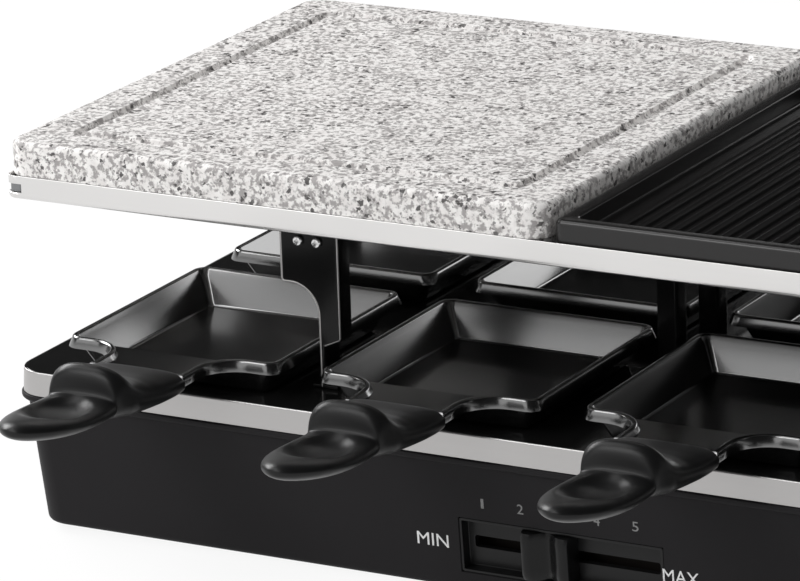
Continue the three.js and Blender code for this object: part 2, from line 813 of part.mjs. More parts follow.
/** The pan's outline from above with its neck towards -Y, moved inwards by an inset. */
function panOutline(inset) {
  const halfX = panWidth / 2 - inset;
  const backY = panDepth / 2 - inset;
  const frontY = panFrontY + inset;
  const corner = panCorner - inset;
  const neck = neckHalf - inset;
  const neckEndY = panFrontY - neckReach + inset;
  const quarter = Math.PI / 2;
  const outline = new THREE.Shape();
  outline.moveTo(neck, neckEndY);
  outline.lineTo(neck, frontY - neckFillet);
  outline.absarc(neck + neckFillet, frontY - neckFillet, neckFillet, 2 * quarter, quarter, true);
  outline.lineTo(halfX - corner, frontY);
  outline.absarc(halfX - corner, frontY + corner, corner, -quarter, 0, false);
  outline.lineTo(halfX, backY - corner);
  outline.absarc(halfX - corner, backY - corner, corner, 0, quarter, false);
  outline.lineTo(-halfX + corner, backY);
  outline.absarc(-halfX + corner, backY - corner, corner, quarter, 2 * quarter, false);
  outline.lineTo(-halfX, frontY + corner);
  outline.absarc(-halfX + corner, frontY + corner, corner, 2 * quarter, 3 * quarter, false);
  outline.lineTo(-neck - neckFillet, frontY);
  outline.absarc(-neck - neckFillet, frontY - neckFillet, neckFillet, quarter, 0, true);
  outline.lineTo(-neck, neckEndY);
  outline.closePath();
  return outline;
}

/** One pan, with its middle over the origin and its underside at height zero. */
function panSolid() {
  const rimBottomZ = panHeight - rimDepth;
  const rim = cut(
    raised(panOutline(0), rimBottomZ, panHeight),
    raised(panOutline(rimWidth), rimBottomZ - overrun, panHeight + overrun),
  );
  const wall = (inset, lowZ, highZ) => block([
    {
      halfX: panWidth / 2 - wallInset - wallLean - inset,
      halfY: panDepth / 2 - wallInset - wallLean - inset,
      radius: panCorner - inset,
      z: lowZ,
    },
    {
      halfX: panWidth / 2 - wallInset - inset,
      halfY: panDepth / 2 - wallInset - inset,
      radius: panCorner - inset,
      z: highZ,
    },
  ], smallSteps);
  const body = wall(0, 0, panHeight - rimDepth / 2);
  const inside = wall(panSheet, panSheet, panHeight - rimDepth / 2 + panSheet / 2);
  const neckInnerHalf = neckHalf - rimWidth / 2;
  const neckFloor = box(
    -neckInnerHalf, neckInnerHalf, panFrontY - neckReach + rimWidth / 2, panFrontY + wallInset,
    rimBottomZ, rimBottomZ + panSheet,
  );
  const tongue = box(
    -tongueHalf, tongueHalf, panFrontY - neckReach - tongueReach, panFrontY - neckReach + rimWidth / 2,
    rimBottomZ, rimBottomZ + panSheet,
  );
  return join(cut(body, inside), rim, neckFloor, tongue);
}

// Handle stations from the pan to the tip. Shares of the handle's length, half width and height:
// reach, width, underside, widest height, top, depth of the thumb hollow.
const handleStationShares = [
  [0, 0.86, 0.1, 0.27, 0.44, 0],
  [0.06, 0.96, 0.03, 0.27, 0.5, 0],
  [0.215, 0.88, 0, 0.29, 0.62, 0],
  [0.32, 0.79, 0.02, 0.34, 0.84, 0],
  [0.365, 0.75, 0.05, 0.36, 1, 0],
  [0.4, 0.74, 0.07, 0.37, 1, 0],
  [0.425, 0.75, 0.09, 0.39, 0.84, 0],
  [0.44, 0.77, 0.1, 0.4, 0.57, 0],
  [0.49, 0.79, 0.1, 0.42, 0.55, 0.2],
  [0.57, 0.78, 0.1, 0.44, 0.58, 0.9],
  [0.68, 0.74, 0.12, 0.48, 0.63, 1],
  [0.79, 0.63, 0.19, 0.53, 0.68, 0.7],
  [0.89, 0.45, 0.31, 0.58, 0.72, 0.1],
  [0.97, 0.22, 0.45, 0.62, 0.72, 0],
  [1, 0.07, 0.54, 0.63, 0.69, 0],
];
const handleDropZ = 5.2;
const handleOverlap = 5;
const handleSides = 12;
const hollowDepth = 3.2;
const hollowWidthShare = 0.8;

/** One handle in its pan's frame, pointing to -Y, with a slot that takes the pan's tongue. */
function handleSolid() {
  const startReach = panDepth / 2 + neckReach - handleOverlap;
  const half = handleWidth / 2;
  const length = handleLength;
  const rings = handleStationShares.map(([reach, width, low, side, high, hollow]) => {
    const points = [];
    for (let step = 0; step < handleSides; step += 1) {
      const angle = (step / handleSides) * 2 * Math.PI;
      const across = Math.cos(angle);
      const along = Math.sin(angle);
      const span = along > 0 ? high - side : side - low;
      const hollowAcross = Math.max(0, 1 - (across / hollowWidthShare) ** 2);
      const dip = along > 0 ? hollow * hollowDepth * hollowAcross : 0;
      const z = handleDropZ + (side + along * span) * handleHeight - dip;
      points.push(new THREE.Vector3(across * width * half, -(startReach + reach * length), z));
    }
    return points;
  });
  const body = skin(rings, (point) => new THREE.Vector2(point.x, point.z));
  const rimBottomZ = panHeight - rimDepth;
  const neckClear = box(
    -neckHalf - fitGap, neckHalf + fitGap, panFrontY - neckReach - fitGap, panFrontY,
    rimBottomZ - fitGap, panHeight + fitGap,
  );
  const slot = box(
    -tongueHalf - fitGap, tongueHalf + fitGap, panFrontY - neckReach - tongueReach - fitGap,
    panFrontY - neckReach + fitGap, rimBottomZ - fitGap, rimBottomZ + panSheet + fitGap,
  );
  return cut(body, neckClear, slot);
}

/** Adds the four pans and handles of one side of the grill. */
function addPanRow(sideName, row) {
  const pan = panSolid();
  const handle = handleSolid();
  for (let place = 0; place < pansPerSide; place += 1) {
    const seat = new THREE.Group();
    seat.position.x = (place - (pansPerSide - 1) / 2) * panPitch;
    seat.position.y = row * (panRowGap + panDepth) / 2;
    seat.position.z = panBottomZ;
    seat.rotation.z = row > 0 ? Math.PI : 0;
    grill.add(seat);
    addPiece(`pan_${sideName}_${place + 1}`, 'blackEnamel', pan, seat);
    addPiece(`handle_${sideName}_${place + 1}`, 'blackPlastic', handle, seat);
  }
}

function controlBezel() {
  const gap = fitGap;
  const face = common(
    box(
      -windowHalf + gap, windowHalf - gap, -baseDepth / 2, bezelBackY, windowLowZ + gap, windowHighZ - gap,
    ),
    shellOutline(0, shellBottomZ, trimBottomZ),
  );
  const flange = common(
    box(
      -windowHalf - bezelLip, windowHalf + bezelLip, -baseDepth / 2, bezelBackY,
      windowLowZ - bezelLip, windowHighZ + bezelLip,
    ),
    shellOutline(shellWall + gap, shellBottomZ, trimBottomZ),
  );
  const wall = shellWall / 2;
  const pocket = box(
    -windowHalf + wall, windowHalf - wall, -baseDepth / 2, recessFloorY,
    windowLowZ + wall, windowHighZ - wall,
  );
  const slitHalf = windowHalf - wall - slitMargin;
  const slit = box(
    -slitHalf, slitHalf, recessFloorY - overrun, bezelBackY + overrun,
    windowCentreZ - slitHeight / 2, windowCentreZ + slitHeight / 2,
  );
  return cut(join(face, flange), pocket, slit);
}

// Regulator behind the bezel: a body with a channel, and the carriage that the knob pushes
const carriageHalfX = 8;
const carriageHalfZ = 6;
const carriageDepth = 7;
const carriageFrontY = bezelBackY + runningGap;
const regulatorHalfX = 50;
const regulatorDepth = 30;
const regulatorHalfZ = 13;
const channelLip = 2.5;
const stemHalfZ = slitHeight / 2 - runningGap;
const stemTipY = carriageFrontY + carriageDepth / 2;

/** The knob from above: two ridges with a finger dip between them. */
function sliderKnob() {
  const half = knobWidth / 2;
  const backY = recessFloorY - fitGap;
  const frontY = panelY - knobProud;
  const ridge = half * knobRidgeShare;
  const dipY = frontY + (backY - frontY) * knobDipShare;
  const outline = new THREE.Shape();
  outline.moveTo(-half, backY);
  outline.lineTo(half, backY);
  outline.lineTo(half, frontY + ridge);
  outline.absarc(half - ridge, frontY + ridge, ridge, 0, -Math.PI / 2, true);
  outline.quadraticCurveTo(half - 2 * ridge, dipY, 0, dipY);
  outline.quadraticCurveTo(-half + 2 * ridge, dipY, -half + ridge, frontY);
  outline.absarc(-half + ridge, frontY + ridge, ridge, -Math.PI / 2, -Math.PI, true);
  outline.closePath();
  const head = raised(outline, windowCentreZ - knobHeight / 2, windowCentreZ + knobHeight / 2);
  const stem = box(
    -knobStemHalfX, knobStemHalfX, backY - overrun, stemTipY,
    windowCentreZ - stemHalfZ, windowCentreZ + stemHalfZ,
  );
  const geometry = join(head, stem);
  geometry.translate(knobRestX, 0, 0);
  return geometry;
}

function slideCarriage() {
  const body = box(
    -carriageHalfX, carriageHalfX, carriageFrontY, carriageFrontY + carriageDepth,
    windowCentreZ - carriageHalfZ, windowCentreZ + carriageHalfZ,
  );
  const socket = box(
    -knobStemHalfX - fitGap, knobStemHalfX + fitGap, carriageFrontY - overrun, stemTipY + fitGap,
    windowCentreZ - stemHalfZ - fitGap, windowCentreZ + stemHalfZ + fitGap,
  );
  const geometry = cut(body, socket);
  geometry.translate(knobRestX, 0, 0);
  return geometry;
}

function powerRegulator() {
  const frontY = carriageFrontY;
  const backY = carriageFrontY + carriageDepth + regulatorDepth;
  const body = box(
    -regulatorHalfX, regulatorHalfX, frontY, backY,
    windowCentreZ - regulatorHalfZ, windowCentreZ + regulatorHalfZ,
  );
  const channel = box(
    -regulatorHalfX + channelLip, regulatorHalfX - channelLip, frontY - overrun,
    frontY + carriageDepth + runningGap,
    windowCentreZ - carriageHalfZ - fitGap, windowCentreZ + carriageHalfZ + fitGap,
  );
  return cut(body, channel);
}

// Bottom of the base: cover, feet and screws
const ventWidth = 3.4;
const ventLength = 60;
const ventPitch = 9;
const ventCount = 5;
const ventPlaceShare = 0.55;

function bottomCover() {
  const z0 = shellBottomZ + coverRecess;
  const plate = shellOutline(shellWall + fitGap, z0, z0 + coverThickness);
  const holes = bossPlaces().map(({ x, y }) =>
    disc(pilotRadius + fitGap, x, y, z0 - overrun, z0 + coverThickness + overrun, roundSides / 2));
  const footHoles = footPlaces().map(({ x, y }) =>
    disc(footStemRadius + fitGap, x, y, z0 - overrun, z0 + coverThickness + overrun));
  const vents = [-1, 1].flatMap((side) => Array.from({ length: ventCount }, (unused, row) => {
    const x = side * baseLength * ventPlaceShare / 2;
    const y = (row - (ventCount - 1) / 2) * ventPitch;
    return box(
      x - ventLength / 2, x + ventLength / 2, y - ventWidth / 2, y + ventWidth / 2,
      z0 - overrun, z0 + coverThickness + overrun,
    );
  }));
  return cut(plate, ...holes, ...footHoles, ...vents);
}

function footPlaces() {
  const x = baseLength / 2 - footInset;
  const y = baseDepth / 2 - footInset;
  return [[-x, -y], [x, -y], [-x, y], [x, y]].map(([placeX, placeY]) => ({ x: placeX, y: placeY }));
}

/** A rubber foot with a stem that is pushed through the cover. */
function footSolid() {
  const padTop = shellBottomZ + coverRecess - fitGap;
  const stemTop = shellBottomZ + coverRecess + coverThickness + overrun;
  return turned([
    [0, 0],
    [footRadius - footEdge, 0],
    [footRadius, footEdge],
    [footRadius, padTop],
    [footStemRadius, padTop],
    [footStemRadius, stemTop],
    [0, stemTop],
  ]);
}

/** One screw of the bottom cover, over the origin. */
function baseScrew() {
  const coverZ = shellBottomZ + coverRecess;
  const headBottomZ = coverZ - fitGap - screwHeadHeight;
  const shankTopZ = coverZ + coverThickness + bossHeight / 2;
  return join(
    disc(screwHeadRadius, 0, 0, headBottomZ, headBottomZ + screwHeadHeight, roundSides / 2),
    disc(pilotRadius - fitGap, 0, 0, headBottomZ, shankTopZ, roundSides / 2),
  );
}

// Inside the base: terminal block and thermal fuse
const terminalX = 120;
const terminalY = 60;
const terminalHalfX = 22;
const terminalHalfY = 9;
const terminalHeight = 16;
const floorZ = shellBottomZ + coverRecess + coverThickness + fitGap;
const terminalPoles = 3;
const poleRadius = 2.4;
const fuseX = -52;
const fuseLength = 26;
const fuseRadius = 4;
const fuseLift = 20;
const fuseCradleHalf = 6.5;

function terminalBlock() {
  const body = box(
    terminalX - terminalHalfX, terminalX + terminalHalfX,
    terminalY - terminalHalfY, terminalY + terminalHalfY, floorZ, floorZ + terminalHeight,
  );
  const poles = Array.from({ length: terminalPoles }, (unused, pole) => {
    const x = terminalX + (pole - (terminalPoles - 1) / 2) * (2 * terminalHalfX / terminalPoles);
    return disc(poleRadius, x, terminalY, floorZ + terminalHeight / 2, floorZ + terminalHeight + overrun,
      roundSides / 2);
  });
  return cut(body, ...poles);
}

function thermalFuse() {
  const geometry = new THREE.CylinderGeometry(fuseRadius, fuseRadius, fuseLength, roundSides);
  geometry.rotateZ(Math.PI / 2);
  const cradle = box(-fuseCradleHalf, fuseCradleHalf, -fuseRadius, fuseRadius, -fuseLift, 0);
  const whole = join(geometry, cradle);
  whole.translate(fuseX, 0, floorZ + fuseLift);
  return whole;
}

/** The rubber bush in the back wall that a mains lead would pass through. */
function cordBush() {
  const wallY = baseDepth / 2 - shellStep - (trimBottomZ - bushZ) * shellSlope;
  const lean = bushFlange * shellSlope;
  const outerFace = wallY + lean + fitGap;
  const innerFace = wallY - shellWall - lean - fitGap;
  const neck = bushHole - fitGap;
  const ring = new THREE.LatheGeometry([
    [bushBore, innerFace - bushFlangeDepth],
    [bushFlange, innerFace - bushFlangeDepth],
    [bushFlange, innerFace],
    [neck, innerFace],
    [neck, outerFace],
    [bushFlange, outerFace],
    [bushFlange, outerFace + bushFlangeDepth],
    [bushBore, outerFace + bushFlangeDepth],
    [bushBore, innerFace - bushFlangeDepth],
  ].map(([radius, reach]) => new THREE.Vector2(radius, reach)), roundSides);
  ring.translate(bushX, 0, bushZ);
  return ring;
}

addPiece('base_shell', 'matteShell', baseShell());
addPiece('trim_band', 'stainless', trimBand());
addPiece('deck', 'matteShell', deckPlate());
addPiece('heat_shield', 'zincSteel', heatShield());
addPiece('bottom_cover', 'zincSteel', bottomCover());
const cornerNames = ['front_left', 'front_right', 'back_left', 'back_right'];
cornerNames.forEach((name, corner) => {
  const foot = addPiece(`foot_${name}`, 'rubber', footSolid());
  foot.position.x = footPlaces()[corner].x;
  foot.position.y = footPlaces()[corner].y;
  const screw = addPiece(`base_screw_${name}`, 'zincSteel', baseScrew());
  screw.position.x = bossPlaces()[corner].x;
  screw.position.y = bossPlaces()[corner].y;
});
addPiece('control_bezel', 'blackPlastic', controlBezel());
addPiece('slider_knob', 'blackPlastic', sliderKnob());
addPiece('slide_carriage', 'blackPlastic', slideCarriage());
addPiece('power_regulator', 'ceramic', powerRegulator());
addPiece('terminal_block', 'ceramic', terminalBlock());
addPiece('thermal_fuse', 'zincSteel', thermalFuse());
addPiece('cord_bush', 'rubber', cordBush());
addPiece('element_post_front', 'blackEnamel', elementPost(-postY));
addPiece('element_post_back', 'blackEnamel', elementPost(postY));
addPiece('heating_element', 'elementSteel', heatingElement());
addPiece('element_hanger_left', 'zincSteel', elementHanger(-1));
addPiece('element_hanger_right', 'zincSteel', elementHanger(1));
addPiece('cross_rail_left', 'zincSteel', crossRail(-1));
addPiece('cross_rail_right', 'zincSteel', crossRail(1));
addPiece('cross_bar', 'zincSteel', crossBar());
cornerNames.forEach((name, corner) => {
  const side = corner % 2 === 0 ? -1 : 1;
  const row = corner < 2 ? -1 : 1;
  addPiece(`leg_${name}`, 'blackEnamel', legAt(side, row));
  legScrewOffsets().forEach((offset, screw) => {
    addPiece(`leg_screw_${name}_${screw + 1}`, 'zincSteel', legScrew(side, row, offset));
  });
});
addPiece('top_frame', 'stainless', topFrame());
addPiece('stone_plate', 'granite', stonePlate());
addPiece('grill_plate', 'nonStick', grillPlate());
addPanRow('front', -1);
addPanRow('back', 1);

export default grill;
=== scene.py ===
"""Looks of a tabletop raclette grill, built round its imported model.

A stone plate and a ribbed grill plate lie in a steel frame over a looped heating element. Black legs carry
the frame over a low base, and eight small pans with plastic handles slide in from the front and the back.
Sizes are in millimetres in the part's own frame, and each finished mesh is brought to metres.
"""

import logging
import math
from collections.abc import Callable, Iterable
from dataclasses import astuple, dataclass, replace
from enum import Enum

import bmesh
import bpy
from bmesh.types import BMEdge, BMesh, BMFace, BMVert
from mathutils import Matrix, Vector


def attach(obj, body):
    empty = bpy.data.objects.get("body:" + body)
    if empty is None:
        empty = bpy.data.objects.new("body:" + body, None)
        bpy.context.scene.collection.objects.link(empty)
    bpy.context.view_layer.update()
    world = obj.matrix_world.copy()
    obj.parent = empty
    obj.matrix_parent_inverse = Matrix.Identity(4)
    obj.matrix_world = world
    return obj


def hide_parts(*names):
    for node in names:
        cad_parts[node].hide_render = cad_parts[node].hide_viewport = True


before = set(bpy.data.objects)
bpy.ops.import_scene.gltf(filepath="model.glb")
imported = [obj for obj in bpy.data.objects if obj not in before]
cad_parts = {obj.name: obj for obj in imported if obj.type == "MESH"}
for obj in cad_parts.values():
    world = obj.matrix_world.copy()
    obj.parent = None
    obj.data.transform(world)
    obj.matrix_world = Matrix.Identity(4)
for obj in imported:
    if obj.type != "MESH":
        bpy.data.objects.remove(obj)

Pair = tuple[float, float]
Triple = tuple[float, float, float]
Place = Callable[[Vector], Vector]
Socket = bpy.types.NodeSocket

MM = 0.001
NEAR = 0.1
QUARTER = math.pi / 2
log = logging.getLogger("raclette")


# ---- mesh work -------------------------------------------------------------------------------------------


def only(kind: type, parts: Iterable[object]) -> list:
    """Returns the parts of one kind."""
    return [part for part in parts if isinstance(part, kind)]


class Skin:
    """A surface that is drawn ring by ring from one closed loop of edges."""

    def __init__(self, mesh: BMesh, edges: Iterable[BMEdge]) -> None:
        """Starts a skin.

        Args:
            mesh: The mesh that holds the loop.
            edges: The closed loop that is drawn on.
        """
        self.mesh = mesh
        self.loop = self.first = list(edges)
        self.starts = {corner: corner.co.copy() for edge in self.loop for corner in edge.verts}

    def settle(self, place: Place) -> None:
        """Puts the open ring's corners in place, while the next rings still know where each line began."""
        for corner, start in self.starts.items():
            corner.co = place(start)

    def draw(self, place: Place) -> list[BMFace]:
        """Draws the open loop to a new ring.

        Args:
            place: Gives each new corner's place from where its line began on the first ring.

        Returns:
            The new faces.
        """
        made = bmesh.ops.extrude_edge_only(self.mesh, edges=self.loop)["geom"]
        carried: dict[BMVert, Vector] = {}
        for corner in only(BMVert, made):
            others = (edge.other_vert(corner) for edge in corner.link_edges)
            carried[corner] = next(self.starts[other] for other in others if other in self.starts)
        self.starts = carried
        self.settle(place)
        self.loop = [edge for edge in only(BMEdge, made) if all(corner in carried for corner in edge.verts)]
        return only(BMFace, made)

    def capped(self) -> BMesh:
        """Fills both open ends.

        Returns:
            The mesh.
        """
        for loop in (self.loop, self.first):
            bmesh.ops.contextual_create(self.mesh, geom=loop)
        return self.mesh

    def meet(self) -> BMesh:
        """Bridges the last ring to the first, which closes a band, and returns the mesh."""
        bmesh.ops.bridge_loops(self.mesh, edges=self.first + self.loop)
        return self.mesh


@dataclass(frozen=True)
class Outline:
    """A rectangle with round corners, about its middle: half its length, half its depth, its radius."""

    half_x: float
    half_y: float
    radius: float

    def shrunk(self, inset: float) -> "Outline":
        """Returns the outline moved inwards by an inset."""
        return Outline(self.half_x - inset, self.half_y - inset, max(self.radius - inset, 0.3))

    def towards(self, other: "Outline", share: float) -> "Outline":
        """Returns the outline that lies a share of the way to another."""
        return Outline(*(a + (b - a) * share for a, b in zip(astuple(self), astuple(other))))

    def carry(self, start: Vector, target: "Outline", z: float) -> Vector:
        """Carries a point of this outline's corner arcs to the same point of another.

        Args:
            start: A point on one of the corner arcs.
            target: The outline to carry it to.
            z: Height of the new point.

        Returns:
            The new point.
        """
        side, row = math.copysign(1.0, start.x), math.copysign(1.0, start.y)
        arm_x = (start.x - side * (self.half_x - self.radius)) / self.radius
        arm_y = (start.y - row * (self.half_y - self.radius)) / self.radius
        return Vector((side * (target.half_x - target.radius) + arm_x * target.radius,
                       row * (target.half_y - target.radius) + arm_y * target.radius, z))


class Turn(Enum):
    """How a quarter turn of a skin sets off."""

    UP = "upright"
    OUT = "level"


Stretch = Pair | tuple[float, float, Turn] | tuple[float, float, Turn, int]


class RoundedSkin(Skin):
    """A skin whose rings are rectangles with round corners."""

    def __init__(self, outline: Outline, z: float, segments: int) -> None:
        """Lays the first ring.

        Args:
            outline: The first ring's outline.
            z: Its height.
            segments: Steps of each round corner.
        """
        mesh = bmesh.new()
        corners = bmesh.ops.create_grid(mesh, x_segments=1, y_segments=1, size=1.0)["verts"]
        bmesh.ops.scale(mesh, vec=(outline.half_x, outline.half_y, 1.0), verts=corners)
        bmesh.ops.translate(mesh, vec=(0.0, 0.0, z), verts=corners)
        round_off(mesh, corners, outline.radius, segments)
        bmesh.ops.delete(mesh, geom=list(mesh.faces), context="FACES_ONLY")
        super().__init__(mesh, mesh.edges)
        self.base = self.now = outline
        self.height = z

    def level(self, outline: Outline, z: float) -> list[BMFace]:
        """Draws straight to a next outline and height, and returns the new faces."""
        self.now, self.height = outline, z
        return self.draw(lambda start: self.base.carry(start, outline, z))

    def arc(self, outline: Outline, z: float, turn: Turn, steps: int = 4) -> None:
        """Draws to a next outline and height along a quarter of an ellipse.

        Args:
            outline: The outline to end on.
            z: The height to end at.
            turn: How the turn sets off.
            steps: Rings of the turn.
        """
        start, low = self.now, self.height
        for step in range(1, steps + 1):
            angle = QUARTER * step / steps
            across, up = 1 - math.cos(angle), math.sin(angle)
            if turn is Turn.OUT:
                across, up = up, across
            self.level(start.towards(outline, across), low + (z - low) * up)

    def follow(self, whole: Outline, *stretches: Stretch) -> "RoundedSkin":
        """Draws on through insets of one outline.

        Args:
            whole: The outline that the insets are taken from.
            stretches: The inset and height to end at, and for a quarter turn how it sets off and its steps.

        Returns:
            The skin.
        """
        for inset, z, *turn in stretches:
            draw = self.arc if turn else self.level
            draw(whole.shrunk(inset), z, *turn)
        return self


def round_off(mesh: BMesh, parts: Iterable[BMVert | BMEdge], width: float, segments: int = 2) -> None:
    """Rounds corners of a flat face, or edges of a solid.

    Args:
        mesh: The mesh.
        parts: The corners, or the edges.
        width: How far the rounding reaches.
        segments: Its steps.
    """
    parts = list(parts)
    bmesh.ops.bevel(
        mesh, geom=parts, offset=width, offset_type="OFFSET", segments=segments, profile=0.5,
        affect="VERTICES" if isinstance(parts[0], BMVert) else "EDGES", material=-1, clamp_overlap=True,
    )


def chain(mesh: BMesh, points: Iterable[Triple], closed: bool) -> None:
    """Lays edges through a few points.

    Args:
        mesh: The mesh.
        points: The points in their order.
        closed: Whether an edge joins the last point to the first.
    """
    corners = [bmesh.ops.create_vert(mesh, co=point)["vert"][0] for point in points]
    for near, far in zip(corners, corners[1:] + corners[:1] * closed):
        bmesh.ops.contextual_create(mesh, geom=[near, far])


def flat_face(mesh: BMesh, points: Iterable[Triple]) -> BMFace:
    """Draws one flat face.

    Args:
        mesh: The mesh, still empty.
        points: The points that its outline runs through.

    Returns:
        The face.
    """
    chain(mesh, points, closed=True)
    face = bmesh.ops.contextual_create(mesh, geom=list(mesh.edges))["faces"][0]
    face.normal_update()
    return face


def box_mesh(low: Triple, high: Triple, edge: float) -> BMesh:
    """Makes a box whose edges are rounded.

    Args:
        low: Its lowest corner.
        high: Its highest corner.
        edge: Width of the rounding.

    Returns:
        The mesh.
    """
    mesh = bmesh.new()
    corners = bmesh.ops.create_cube(mesh, size=1.0)["verts"]
    bmesh.ops.scale(mesh, vec=[b - a for a, b in zip(low, high)], verts=corners)
    bmesh.ops.translate(mesh, vec=[(a + b) / 2 for a, b in zip(low, high)], verts=corners)
    round_off(mesh, mesh.edges, edge)
    return mesh


def spun(profile: Iterable[Pair], steps: int) -> BMesh:
    """Turns a profile about the upright axis.

    Args:
        profile: Radius and height of each point, from one end to the other.
        steps: Steps of the full turn.

    Returns:
        The mesh.
    """
    mesh = bmesh.new()
    chain(mesh, [(radius, 0.0, z) for radius, z in profile], closed=False)
    bmesh.ops.spin(mesh, geom=list(mesh.verts) + list(mesh.edges), cent=(0, 0, 0), axis=(0, 0, 1),
                   angle=2 * math.pi, steps=steps, use_merge=True)
    return mesh


def round_skin(sides: int, radius: float) -> Skin:
    """Starts a skin on a circle round the origin.

    Args:
        sides: Sides of the circle.
        radius: Its radius.

    Returns:
        The skin.
    """
    mesh = bmesh.new()
    bmesh.ops.create_circle(mesh, cap_ends=False, segments=sides, radius=radius)
    return Skin(mesh, mesh.edges)


def swept(path: list[Vector], radius: float, sides: int) -> BMesh:
    """Draws a round section along a path.

    Args:
        path: The points that its middle runs through.
        radius: Radius of the section.
        sides: Sides of the section.

    Returns:
        The mesh.
    """
    skin = round_skin(sides, radius)
    side = Vector((1, 0.01, 0))
    for index, point in enumerate(path):
        ahead = (path[min(index + 1, len(path) - 1)] - path[max(index - 1, 0)]).normalized()
        side = (side - ahead * side.dot(ahead)).normalized()
        up = ahead.cross(side)
        lay = skin.draw if index else skin.settle
        lay(lambda start: point + side * start.x + up * start.y)
    return skin.capped()


def arc_points(middle: Pair, radius: float, start: float, sweep: float, steps: int) -> list[Pair]:
    """Returns points of a flat arc, both ends with it."""
    angles = (start + sweep * step / steps for step in range(steps + 1))
    return [(middle[0] + radius * math.cos(a), middle[1] + radius * math.sin(a)) for a in angles]


def moved(mesh: BMesh, matrix: Matrix) -> BMesh:
    """Applies a matrix to a whole mesh and returns the mesh."""
    bmesh.ops.transform(mesh, matrix=matrix, verts=mesh.verts)
    return mesh


def copied(mesh: BMesh, matrix: Matrix) -> BMesh:
    """Returns a copy of a mesh with a matrix applied."""
    return moved(mesh.copy(), matrix)


def joined(meshes: Iterable[BMesh]) -> BMesh:
    """Brings several meshes together in one, and frees them.

    Args:
        meshes: The meshes.

    Returns:
        The one mesh.
    """
    whole = bmesh.new()
    for mesh in meshes:
        part = bpy.data.meshes.new("part")
        mesh.to_mesh(part)
        whole.from_mesh(part)
        bpy.data.meshes.remove(part)
        mesh.free()
    return whole


def cut_out(mesh: BMesh, faces: Iterable[BMFace], cuts: dict[int, Pair],
            inside: Callable[[Vector], bool]) -> None:
    """Cuts faces along the axes and takes out the pieces that lie inside an opening.

    Args:
        mesh: The mesh.
        faces: The faces that the opening goes through.
        cuts: Two places of cuts along each axis, 0 for x to 2 for z.
        inside: Tells from a face's middle whether it lies in the opening.
    """
    live = list(faces)
    for axis, places in cuts.items():
        normal = Matrix.Identity(3)[axis]
        for place in places:
            geometry = {part for face in live for part in (face, *face.edges, *face.verts)}
            made = bmesh.ops.bisect_plane(
                mesh, geom=list(geometry), plane_co=normal * place, plane_no=normal, dist=1e-5)
            live = only(BMFace, made["geom"])
    taken = [face for face in live if inside(face.calc_center_median())]
    bmesh.ops.delete(mesh, geom=taken, context="FACES")


# ---- finishes --------------------------------------------------------------------------------------------


class Join(Enum):
    """How two values are joined."""

    ADDED = "ADD"
    TIMES = "MULTIPLY"
    LARGER = "MAXIMUM"


class Nodes:
    """Lays the nodes of one material or world and links them."""

    def __init__(self, owner: bpy.types.Material | bpy.types.World) -> None:
        """Empties the owner's tree to start on it.

        Args:
            owner: The material or world.
        """
        owner.use_nodes = True
        self.owner = owner
        self.tree = owner.node_tree
        self.tree.nodes.clear()

    def feed(self, target: Socket, value: object) -> None:
        """Links a socket, or sets a plain value.

        Args:
            target: The input that is fed.
            value: A node's output, or a plain value. A colour has three parts.
        """
        if isinstance(value, Socket):
            self.tree.links.new(value, target)
        elif target.type == "RGBA":
            target.default_value = (*value, 1.0)
        else:
            target.default_value = value

    def add(self, kind: str, inputs: dict[str | int, object], **settings: object) -> bpy.types.Node:
        """Adds a node.

        Args:
            kind: Its type, without the first words that all of them share.
            inputs: What each of its inputs is fed.
            settings: Its own settings.

        Returns:
            The node.
        """
        node = self.tree.nodes.new("ShaderNode" + kind)
        for name, value in settings.items():
            setattr(node, name, value)
        for name, value in inputs.items():
            self.feed(node.inputs[name], value)
        return node

    def join(self, first: object, second: object, how: Join = Join.ADDED) -> Socket:
        """Joins two values and returns the result's socket."""
        return self.add("Math", {0: first, 1: second}, operation=how.value).outputs[0]


